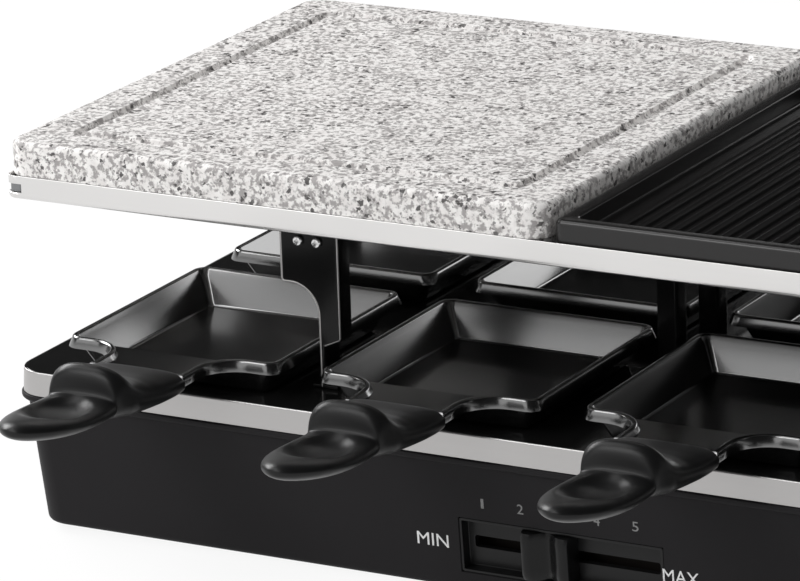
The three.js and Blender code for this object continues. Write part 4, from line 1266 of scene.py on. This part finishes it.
            # Thin pale beads on the leg's edges: painted highlights.
            Piece(f"bracket_edge_{name}", copied(edges, place), EDGE_HIGHLIGHT, sharp=60.0).build()
            for number, offset in enumerate(self.screw_places, start=1):
                spot = Vector((side * (self.leg_x + offset), row * self.face_y, self.screw_z))
                turn = Matrix.Translation(spot) @ Matrix.Rotation(-row * QUARTER, 4, "X")
                Piece(f"bracket_screw_{name}_{number}", copied(screw, turn), SCREW_STEEL,
                      (f"leg_screw_{name}_{number}",), sharp=40.0).build()
        for name, row in (("front", -1), ("back", 1)):
            Piece(f"square_post_{name}", copied(post, Matrix.Translation((0, row * self.post_y, 0))),
                  LEG_ENAMEL, (f"element_post_{name}",)).build()
        for mesh in (leg, edges, screw, post):
            mesh.free()
        dress(ZINC, "element_hanger_left", "element_hanger_right", "cross_rail_left", "cross_rail_right",
              "cross_bar")


@dataclass
class HeatingTube:
    """The looped tube under the plates, with its two ends down the posts."""

    radius: float = 3.2
    level: float = 128.0
    reach: float = 195.0
    turn: float = 20.0
    middle_x: float = 40.0
    row: float = 18.0
    bend: float = 11.0
    end_z: float = 47.0

    def rise(self, y: float) -> list[Vector]:
        """Returns an upright end and its bend into the level run."""
        bend = arc_points((-self.bend, self.level - self.bend), self.bend, 0.0, QUARTER, 8)
        return [Vector((x, y, z)) for x, z in [(0.0, self.end_z), *bend]]

    def path(self) -> list[Vector]:
        """Finds the points that the tube's middle runs through.

        Returns:
            The points.
        """
        far = self.row + self.turn
        points = self.rise(-self.row)
        for x, y, radius, start, sweep in (
                (-self.reach, -far, self.turn, QUARTER, math.pi),
                (self.reach, -far, self.turn, -QUARTER, math.pi),
                (self.middle_x, 0.0, self.row, -QUARTER, -math.pi),
                (self.reach, far, self.turn, -QUARTER, math.pi),
                (-self.reach, far, self.turn, QUARTER, math.pi)):
            points += [Vector((*place, self.level)) for place in arc_points((x, y), radius, start, sweep, 16)]
        return points + self.rise(self.row)[::-1]

    def build(self) -> None:
        """Draws the tube along its path."""
        mesh = swept(self.path(), self.radius, 16)
        Piece("heating_tube", mesh, TUBE_STEEL, ("heating_element",), sharp=60.0).build()


@dataclass
class TopFrame:
    """The steel frame round both plates, with its ledge and the plugs in its corner slots."""

    outer: Outline = Outline(235.0, 120.0, 4.0)
    low: float = 137.3
    high: float = 146.7
    sheet: float = 0.9
    foot: float = 4.9
    ledge: float = 15.0
    ledge_z: float = 143.2
    roll: float = 1.6
    slot_reach: float = 7.4
    slot_z: Pair = (139.9, 143.5)
    plug: Outline = Outline(3.0, 3.0, 1.8)
    plug_inset: float = 4.2
    plug_gap: float = 0.15
    brim: float = 0.2
    riser_up: float = 1.0
    ledge_round: float = 0.6

    def band(self) -> BMesh:
        """Draws the outer band with its rolled foot, and cuts the corner slots.

        Returns:
            The mesh.
        """
        low, high = self.slot_z
        skin = RoundedSkin(self.outer.shrunk(self.foot), self.low, 8)
        skin.follow(self.outer, (self.roll, self.low), (0.0, self.low + self.roll, Turn.OUT, 5),
                    (0.0, self.high - self.brim))
        walls = [face for face in skin.mesh.faces if face.calc_center_median().z > low]
        skin.follow(self.outer, (self.brim, self.high, Turn.UP, 2))
        reach_x, reach_y = self.outer.half_x - self.slot_reach, self.outer.half_y - self.slot_reach
        cut_out(skin.mesh, walls, {0: (-reach_x, reach_x), 1: (-reach_y, reach_y), 2: (low, high)},
                lambda middle: abs(middle.x) > reach_x and abs(middle.y) > reach_y and low < middle.z < high)
        return skin.mesh

    def shelf(self) -> BMesh:
        """Draws the riser and the ledge that the plates rest on.

        Returns:
            The mesh.
        """
        inset, bend = self.foot - self.sheet, self.ledge_round
        riser = self.outer.shrunk(inset)
        skin = RoundedSkin(riser, self.low + self.riser_up, 4)
        skin.follow(riser, (0.0, self.ledge_z - bend))
        skin.follow(self.outer, (inset + bend, self.ledge_z, Turn.UP, 2), (self.ledge, self.ledge_z))
        return skin.mesh

    def build(self) -> None:
        """Builds the frame and its corner plugs."""
        Piece("steel_frame", joined([self.band(), self.shelf()]), FRAME_STEEL, ("top_frame",),
              wall=self.sheet).build()
        low, high = self.slot_z
        plug = RoundedSkin(self.plug, low + self.plug_gap, 6)
        plug = plug.follow(self.plug, (0.0, high - self.plug_gap)).capped()
        for name, (side, row) in CORNERS.items():
            place = Matrix.Translation((side * (self.outer.half_x - self.plug_inset),
                                        row * (self.outer.half_y - self.plug_inset), 0))
            Piece(f"corner_plug_{name}", copied(plug, place), ZINC).build()
        plug.free()


@dataclass
class StonePlate:
    """The granite plate with its drip groove. Its underside is stepped to sit inside the frame."""

    outline: Outline = Outline(117.0, 119.9, 9.0)
    middle_x: float = -117.6
    low: float = 143.5
    step_z: float = 146.72
    step: float = 1.5
    step_round: float = 0.35
    high: float = 160.2
    edge: float = 2.4
    groove: Outline = Outline(99.0, 101.9, 6.0)
    groove_width: float = 5.0
    groove_depth: float = 2.4
    brink: float = 0.5
    brink_drop: float = 0.4

    def build(self) -> None:
        """Draws the plate from its underside over its edge and groove to its middle."""
        high, width, brink, drop = self.high, self.groove_width, self.brink, self.brink_drop
        skin = RoundedSkin(self.outline.shrunk(self.step), self.low, 8)
        skin.follow(self.outline, (self.step, self.step_z), (self.step_round, self.step_z),
                    (0.0, self.step_z + self.step_round, Turn.OUT, 3), (0.0, high - self.edge),
                    (self.edge, high, Turn.UP, 6))
        skin.follow(self.groove, (-brink, high), (0.0, high - drop, Turn.OUT, 2),
                    (width / 2, high - self.groove_depth, Turn.UP, 5), (width, high - drop, Turn.OUT, 5),
                    (width + brink, high, Turn.UP, 2))
        mesh = moved(skin.capped(), Matrix.Translation((self.middle_x, 0, 0)))
        Piece("granite_plate", mesh, GRANITE, ("stone_plate",), "stone").build()


@dataclass
class GrillPlate:
    """The coated cast plate with its sloping rim and its ribs."""

    outline: Outline = Outline(115.9, 118.4, 3.6)
    ledge: Outline = Outline(110.3, 112.8, 4.6)
    middle_x: float = 117.5
    low: float = 143.5
    high: float = 155.0
    floor: float = 147.5
    foot_round: float = 1.2
    draft: float = 0.2
    rim: Pair = (2.2, 1.9)
    rim_fall: float = 0.3
    brink: Pair = (0.9, 1.3)
    well_inset: float = 1.0
    well_round: float = 1.4
    rib: Outline = Outline(1.5, 100.9, 1.4)
    rib_count: int = 30
    rib_pitch: float = 6.8
    rib_height: float = 2.0
    rib_sunk: float = 0.2
    rib_draft: float = 0.1
    rib_crest: Pair = (1.4, 1.2)

    def tray(self) -> BMesh:
        """Draws the plate's outside, rim and floor.

        Returns:
            The mesh.
        """
        high, foot, (rim, rim_drop), (brink, brink_drop) = self.high, self.foot_round, self.rim, self.brink
        skin = RoundedSkin(self.outline.shrunk(foot), self.low, 10)
        skin.follow(self.outline, (0.0, self.low + foot, Turn.OUT, 3), (self.draft, high - rim_drop),
                    (rim, high, Turn.UP, 7))
        skin.follow(self.ledge, (0.0, high - self.rim_fall), (brink, high - brink_drop, Turn.OUT),
                    (self.well_inset, self.floor + self.well_round),
                    (self.well_inset + self.well_round, self.floor, Turn.UP, 3))
        return skin.capped()

    def one_rib(self) -> BMesh:
        """Draws one rib with a rounded crest.

        Returns:
            The mesh.
        """
        top, (reach, drop) = self.floor + self.rib_height, self.rib_crest
        skin = RoundedSkin(self.rib, self.floor - self.rib_sunk, 3)
        skin.follow(self.rib, (self.rib_draft, top - drop), (reach, top, Turn.UP, 5))
        bmesh.ops.contextual_create(skin.mesh, geom=skin.loop)
        return skin.mesh

    def build(self) -> None:
        """Builds the plate with all its ribs."""
        rib, parts = self.one_rib(), [self.tray()]
        for number in range(self.rib_count):
            x = (number - (self.rib_count - 1) / 2) * self.rib_pitch
            parts.append(copied(rib, Matrix.Translation((x, 0, 0))))
        rib.free()
        whole = moved(joined(parts), Matrix.Translation((self.middle_x, 0, 0)))
        Piece("cast_plate", whole, NON_STICK, ("grill_plate",), "griddle").build()


@dataclass
class Pan:
    """A pressed pan with a rolled rim and a neck, its middle over the origin, its neck towards -Y."""

    half_x: float = 46.75
    half_y: float = 51.0
    top: float = 14.7
    corner: float = 6.0
    neck_half: float = 21.0
    fillet: float = 14.0
    neck_end: float = 76.5
    bead: float = 2.6
    bead_rise: float = 1.1
    bead_steps: int = 8
    lip: float = 0.6
    shoulder: float = 0.8
    neck_drop: float = 2.6
    skirt: float = 4.3
    flare: float = 1.021
    lean: float = 4.9
    lean_end: float = 4.2
    bottom: float = 1.5
    bottom_steps: int = 4
    sheet: float = 0.8

    def outline(self) -> tuple[BMesh, BMFace]:
        """Draws the pan's outline as one flat face at the bead's foot, and rounds its corners.

        Returns:
            The mesh and the face.
        """
        mesh = bmesh.new()
        half = [(self.neck_half, -self.neck_end), (self.neck_half, -self.half_y), (self.half_x, -self.half_y),
                (self.half_x, self.half_y)]
        points = half + [(-x, y) for x, y in reversed(half)]
        face = flat_face(mesh, [(x, y, self.top - self.bead_rise) for x, y in points])
        if face.normal.z < 0:
            face.normal_flip()
        round_off(mesh, [v for v in mesh.verts if abs(abs(v.co.x) - self.half_x) < NEAR], self.corner, 8)
        throat = [v for v in mesh.verts if abs(abs(v.co.x) - self.neck_half) < NEAR
                  and abs(v.co.y + self.half_y) < NEAR]
        round_off(mesh, throat, self.fillet, 10)
        return mesh, mesh.faces[:][0]

    def well(self, mesh: BMesh, floor: BMFace) -> None:
        """Sinks the pan's well between leaning walls and over a round foot.

        Args:
            mesh: The mesh.
            floor: The face that is sunk.
        """
        start = floor.calc_center_median().z
        half_x = max(abs(v.co.x) for v in floor.verts)
        low_y, high_y = (pick(v.co.y for v in floor.verts) for pick in (min, max))
        middle, half_y = Vector((0, (low_y + high_y) / 2, 0)), (high_y - low_y) / 2
        at_x, at_y, at_drop = 0.0, 0.0, 0.0
        for step in range(self.bottom_steps + 1):
            angle = QUARTER * step / self.bottom_steps
            drop = start - self.sheet - self.bottom * (1 - math.sin(angle))
            inset = self.bottom * (1 - math.cos(angle))
            to_x, to_y = self.lean + inset, self.lean_end + inset
            bmesh.ops.inset_region(mesh, faces=[floor], thickness=0.0, depth=at_drop - drop)
            scale = ((half_x - to_x) / (half_x - at_x), (half_y - to_y) / (half_y - at_y), 1)
            bmesh.ops.scale(mesh, vec=scale, verts=list(floor.verts), space=Matrix.Translation(-middle))
            at_x, at_y, at_drop = to_x, to_y, drop

    def build_mesh(self) -> BMesh:
        """Draws the whole pan as an open skin that is given its thickness later.

        Returns:
            The mesh.
        """
        mesh, face = self.outline()
        ring = [(self.bead / 2 * (1 - math.cos(angle)), self.bead_rise * math.sin(angle))
                for angle in (math.pi * step / self.bead_steps for step in range(self.bead_steps + 1))]
        ring.append((self.bead + self.shoulder, self.bead_rise - self.neck_drop))
        for (near, low), (far, high) in zip(ring, ring[1:]):
            bmesh.ops.inset_region(mesh, faces=[face], thickness=far - near, depth=high - low,
                                   use_boundary=True, use_even_offset=True)
        parts = bmesh.ops.bisect_plane(
            mesh, geom=[face, *face.edges, *face.verts], plane_co=(0, self.bead + self.lip - self.half_y, 0),
            plane_no=(0, 1, 0), dist=1e-4)["geom"]
        self.well(mesh, max(only(BMFace, parts), key=lambda part: part.calc_center_median().y))
        rim = [edge for edge in mesh.edges if edge.is_boundary]
        skirt = only(BMVert, bmesh.ops.extrude_edge_only(mesh, edges=rim)["geom"])
        bmesh.ops.translate(mesh, vec=(0, 0, self.bead_rise - self.skirt), verts=skirt)
        bmesh.ops.scale(mesh, vec=(self.flare, self.flare, 1), verts=skirt)
        return mesh


class Part(Enum):
    """Stretches of a handle, from the pan to the tip."""

    HOUSING = "housing"
    GUARD = "guard"
    PADDLE = "paddle"


@dataclass(frozen=True)
class Station:
    """One section across a handle.

    Attributes:
        part: The stretch it belongs to.
        reach: Its distance from the handle's start.
        half: Half of its width.
        low: Height of its underside.
        side: Height of its widest line.
        high: Height of its top.
        square: How boxy its upper half is, 2 for an ellipse.
    """

    part: Part
    reach: float
    half: float
    low: float
    side: float
    high: float
    square: float

    def towards(self, other: "Station", share: float) -> "Station":
        """Returns the section a share of the way to another, in this one's stretch."""
        mixed = (a + (b - a) * share for a, b in zip(astuple(self)[1:], astuple(other)[1:]))
        return Station(self.part, *mixed)

    def point(self, angle: float) -> Pair:
        """Finds a point of the section.

        Args:
            angle: The angle.

        Returns:
            The place across and up.
        """
        power = 2.0 / (self.square if math.sin(angle) > 0 or self.part is Part.PADDLE else 2.3)
        cosine, sine = math.cos(angle), math.sin(angle)
        across = math.copysign(abs(cosine) ** power, cosine)
        along = math.copysign(abs(sine) ** power, sine)
        span = self.high - self.side if along > 0 else self.side - self.low
        return across * self.half, self.side + along * span


# Each row holds a section's reach, half, low, side, high and square, as Station names them.
STATIONS = {
    Part.HOUSING: (
        (0.0, 20.2, 1.2, 5.2, 9.4, 3.8), (0.5, 21.1, 0.4, 5.2, 10.1, 3.8), (1.6, 21.7, -0.1, 5.2, 10.5, 3.8),
        (6.0, 21.8, -0.7, 5.2, 10.9, 3.6), (13.0, 21.2, -1.0, 5.4, 11.6, 3.1),
        (20.0, 20.0, -1.1, 5.8, 12.7, 2.7), (26.0, 19.2, -0.9, 6.4, 14.8, 2.5),
        (30.0, 18.6, -0.6, 6.9, 17.2, 2.5),
    ),
    Part.GUARD: (
        (32.0, 17.8, -0.2, 7.2, 19.8, 2.6), (33.4, 17.5, 0.0, 7.4, 21.1, 2.7),
        (34.8, 17.1, 0.2, 7.5, 21.7, 2.8), (36.2, 16.7, 0.5, 7.6, 21.7, 2.8),
        (37.5, 16.3, 0.7, 7.6, 21.2, 2.8), (38.6, 15.9, 0.9, 7.6, 20.3, 2.8),
        (39.5, 15.5, 1.0, 7.6, 19.1, 2.8), (40.1, 15.2, 1.1, 7.6, 17.7, 2.7),
        (40.5, 15.0, 1.2, 7.6, 16.2, 2.6),
    ),
    Part.PADDLE: (
        (40.9, 15.2, 1.4, 7.6, 11.6, 2.3), (41.9, 15.4, 1.5, 7.6, 11.2, 2.2),
        (46.0, 15.9, 1.7, 7.5, 11.2, 2.2), (52.0, 16.4, 2.0, 7.6, 11.3, 2.2),
        (60.0, 16.4, 2.5, 8.0, 11.8, 2.2), (67.0, 15.8, 3.2, 8.5, 12.4, 2.2),
        (73.5, 14.4, 4.1, 9.2, 13.0, 2.2), (79.0, 12.5, 5.1, 9.6, 13.5, 2.1),
        (83.5, 10.2, 6.2, 10.2, 13.8, 2.05), (86.8, 7.9, 7.2, 10.6, 13.8, 2.0),
        (89.0, 5.6, 8.3, 10.9, 13.4, 2.0), (90.3, 3.4, 9.3, 11.1, 12.8, 2.0),
        (90.9, 1.4, 10.4, 11.2, 12.0, 2.0),
    ),
}


@dataclass
class PanHandle:
    """A moulded handle: a low housing over the pan's neck, a finger guard, and a paddle for the thumb."""

    start: float = 74.0
    lift: float = 5.2
    sides: int = 44
    finest: float = 2.0
    blend: float = 0.18
    blend_over: float = 2.4
    hollow_reach: float = 60.0
    hollow_length: float = 16.5
    hollow_half: float = 12.2
    hollow_depth: float = 4.8
    hollow_soft: Pair = (0.85, 0.45)

    def sections(self) -> list[Station]:
        """Puts even steps between the stations, rounded where a stretch goes on.

        Returns:
            The sections.
        """
        path = [Station(part, *row) for part, rows in STATIONS.items() for row in rows]
        for _ in range(2):
            finer = [path[0]]
            for before, here, after in zip(path, path[1:], path[2:]):
                smooth = (before.part is here.part is after.part
                          and after.reach - before.reach > self.blend_over)
                finer.append(here.towards(before.towards(after, 0.5), self.blend) if smooth else here)
            finer.append(path[-1])
            path = []
            for here, after in zip(finer, finer[1:]):
                count = max(1, round((after.reach - here.reach) / self.finest))
                path += [here.towards(after, number / count) for number in range(count)]
            path.append(finer[-1])
        return path

    def sunk(self, reach: float, across: float) -> float:
        """Finds how deep the thumb hollow is: steep by the guard, soft ahead.

        Args:
            reach: Distance from the handle's start.
            across: Distance from its middle line.

        Returns:
            The depth.
        """
        along = (reach - self.hollow_reach) / self.hollow_length
        away = along ** 2 + (across / self.hollow_half) ** 2
        soft, change = self.hollow_soft
        softness = soft + change * max(-1.0, min(1.0, along))
        return self.hollow_depth * max(0.0, 1 - away) ** softness

    def surface(self, station: Station, start: Vector) -> Vector:
        """Puts a point of the unit circle on a section, and sinks it where it lies in the hollow.

        Args:
            station: The section.
            start: The point.

        Returns:
            The new point.
        """
        across, up = station.point(math.atan2(start.y, start.x))
        if up > station.side:
            up -= self.sunk(station.reach, across)
        return Vector((across, -(self.start + station.reach), self.lift + up))

    def build_mesh(self) -> BMesh:
        """Draws the handle through its sections.

        Returns:
            The mesh, in the pan's frame.
        """
        skin = round_skin(self.sides, 1.0)
        for index, station in enumerate(self.sections()):
            lay = skin.draw if index else skin.settle
            lay(lambda start: self.surface(station, start))
        return skin.capped()


@dataclass
class PanSet:
    """The eight pans with their handles, four to the front and four to the back."""

    pitch: float = 112.0
    row_y: float = 62.5
    deck: float = 67.3
    count: int = 4

    def build(self) -> None:
        """Builds every pan and handle in its place."""
        sheet, pan, handle = Pan.sheet, Pan().build_mesh(), PanHandle().build_mesh()
        for side, row in (("front", -1), ("back", 1)):
            turn = Matrix.Rotation(math.pi if row > 0 else 0.0, 4, "Z")
            for number in range(1, self.count + 1):
                x = (number - (self.count + 1) / 2) * self.pitch
                place = Matrix.Translation((x, row * self.row_y, self.deck)) @ turn
                body, name = f"{side}_pan_{number}", f"{side}_{number}"
                Piece(f"coated_pan_{name}", copied(pan, place), PAN_ENAMEL, (f"pan_{name}",), body,
                      wall=sheet, sharp=40.0, normals=Normals.KEEP).build()
                Piece(f"grip_{name}", copied(handle, place), HANDLE_PLASTIC, (f"handle_{name}",), body,
                      subdivisions=1, sharp=180.0).build()
        pan.free()
        handle.free()


# ---- studio ----------------------------------------------------------------------------------------------


@dataclass(frozen=True)
class Lamp:
    """A soft box.

    Attributes:
        name: Its name.
        place: Where it stands, in metres.
        size: Its width and height in metres.
        power: Its power in watts.
        aim: Where it points.
    """

    name: str
    place: Triple
    size: Pair
    power: float
    aim: Triple = (0.0, 0.0, 0.1)

    def build(self) -> None:
        """Hangs the lamp."""
        light = bpy.data.lights.new(self.name, "AREA")
        light.shape = "RECTANGLE"
        light.size, light.size_y = self.size
        light.energy = self.power
        holder = bpy.data.objects.new(self.name, light)
        bpy.context.scene.collection.objects.link(holder)
        holder.location = self.place
        holder.visible_camera = False
        holder.rotation_mode = "QUATERNION"
        holder.rotation_quaternion = (Vector(self.aim) - Vector(self.place)).to_track_quat("-Z", "Y")


@dataclass
class Studio:
    """The camera at the photograph's place, a pale floor, a white surround and soft lamps.

    Attributes:
        camera_place: Where the camera stands, in metres.
        turns: Its azimuth, elevation and roll in degrees.
        lens: Its focal length.
        surround: Strength of the surround as a light.
        band: Heights between which the mirrored surround fades.
        ceiling: Strength that it fades to.
        shown: Brightness of the floor where it is seen.
        floor_size: Half of the floor's length, in metres.
        floor_colour: Its colour under the lamps.
        lamps: The soft boxes.
    """

    camera_place: Triple = (0.9122, -1.8612, 0.7383)
    turns: Triple = (29.23, 17.20, -1.93)
    lens: float = 252.47
    surround: float = 0.4
    band: Pair = (0.0, 0.16)
    ceiling: float = 0.02
    shown: float = 0.9
    floor_size: float = 12.0
    floor_colour: Triple = (0.86, 0.86, 0.86)
    lamps: tuple[Lamp, ...] = (
        Lamp("key", (-1.0, -1.8, 1.7), (1.6, 1.0), 26.0),
        Lamp("low", (-1.0, -1.9, 0.7), (2.6, 0.75), 7.2),
        Lamp("over", (-1.05, -0.4, 1.95), (1.0, 0.8), 8.0),
        Lamp("left", (-1.75, 0.42, 1.1), (1.5, 0.7), 36.0),
        Lamp("behind", (0.07, 0.46, 0.2), (0.22, 0.16), 0.3, (-0.2, -0.06, 0.08)),
    )

    def camera(self) -> None:
        """Sets up the camera."""
        azimuth, elevation, roll = (math.radians(value) for value in self.turns)
        out = Vector((math.sin(azimuth), -math.cos(azimuth), 0.0))
        back = out * math.cos(elevation) + Vector((0.0, 0.0, math.sin(elevation)))
        right = Vector((math.cos(azimuth), math.sin(azimuth), 0.0))
        up = back.cross(right)
        across = right * math.cos(roll) + up * math.sin(roll)
        upward = up * math.cos(roll) - right * math.sin(roll)
        data = bpy.data.cameras.new("camera")
        data.lens = self.lens
        data.sensor_width = 36.0
        data.clip_start, data.clip_end = 0.05, 100.0
        holder = bpy.data.objects.new("camera", data)
        bpy.context.scene.collection.objects.link(holder)
        turn = Matrix((across, upward, back)).transposed().to_4x4()
        holder.matrix_world = Matrix.Translation(self.camera_place) @ turn
        bpy.context.scene.camera = holder

    def floor(self) -> None:
        """Lays the floor, which shows white but keeps the object's shadow."""
        mesh = bmesh.new()
        bmesh.ops.create_grid(mesh, x_segments=1, y_segments=1, size=self.floor_size)
        data = bpy.data.meshes.new("floor")
        mesh.to_mesh(data)
        mesh.free()
        holder = bpy.data.objects.new("floor", data)
        bpy.context.scene.collection.objects.link(holder)
        graph = Graph("floor_white")
        graph.set(base_color=self.floor_colour, roughness=0.9, specular_ior_level=0.0)
        rays = graph.add("LightPath", {}).outputs
        seen = graph.join(rays["Is Camera Ray"], rays["Is Glossy Ray"], Join.LARGER)
        seen = graph.join(seen, rays["Is Transmission Ray"], Join.LARGER)
        glow = graph.add("Emission", {"Color": (1.0, 1.0, 1.0)}).outputs["Emission"]
        both = graph.add("MixShader", {"Fac": graph.join(seen, self.shown, Join.TIMES),
                                       1: graph.shader.outputs["BSDF"], 2: glow})
        graph.feed(graph.output.inputs["Surface"], both.outputs["Shader"])
        data.materials.append(graph.owner)

    def sky(self) -> None:
        """Sets the surround: white where it is seen, white low down where it is mirrored, else softer."""
        world = bpy.data.worlds.new("surround")
        bpy.context.scene.world = world
        nodes = Nodes(world)
        rays = nodes.add("LightPath", {}).outputs
        outside = nodes.add("TexCoord", {}).outputs["Generated"]
        height = nodes.add("SeparateXYZ", {"Vector": outside}).outputs["Z"]
        low, high = self.band
        fade = nodes.add("MapRange", {"Value": height, "From Min": low, "From Max": high, "To Min": 1.0,
                                      "To Max": self.ceiling}, interpolation_type="SMOOTHSTEP")
        strength: object = self.surround
        for kind, chosen in (("Glossy", fade.outputs["Result"]), ("Transmission", 1.0), ("Camera", 1.0)):
            strength = nodes.add("Mix", {0: rays[f"Is {kind} Ray"], 2: strength, 3: chosen}).outputs[0]
        light = nodes.add("Background", {"Color": (1.0, 1.0, 1.0), "Strength": strength})
        nodes.add("OutputWorld", {"Surface": light.outputs["Background"]})

    def build(self) -> None:
        """Sets up the whole studio."""
        bpy.context.scene.view_settings.view_transform = "Standard"
        self.camera()
        self.floor()
        self.sky()
        for lamp in self.lamps:
            lamp.build()


def main() -> None:
    """Builds the studio and every sub-assembly."""
    logging.basicConfig(level=logging.INFO, format="%(name)s: %(message)s")
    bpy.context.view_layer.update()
    casing = Casing()
    for assembly in (Studio(), casing, ControlPanel(casing), Supports(), HeatingTube(), TopFrame(),
                     StonePlate(), GrillPlate(), PanSet()):
        assembly.build()


if __name__ == "__main__":
    main()
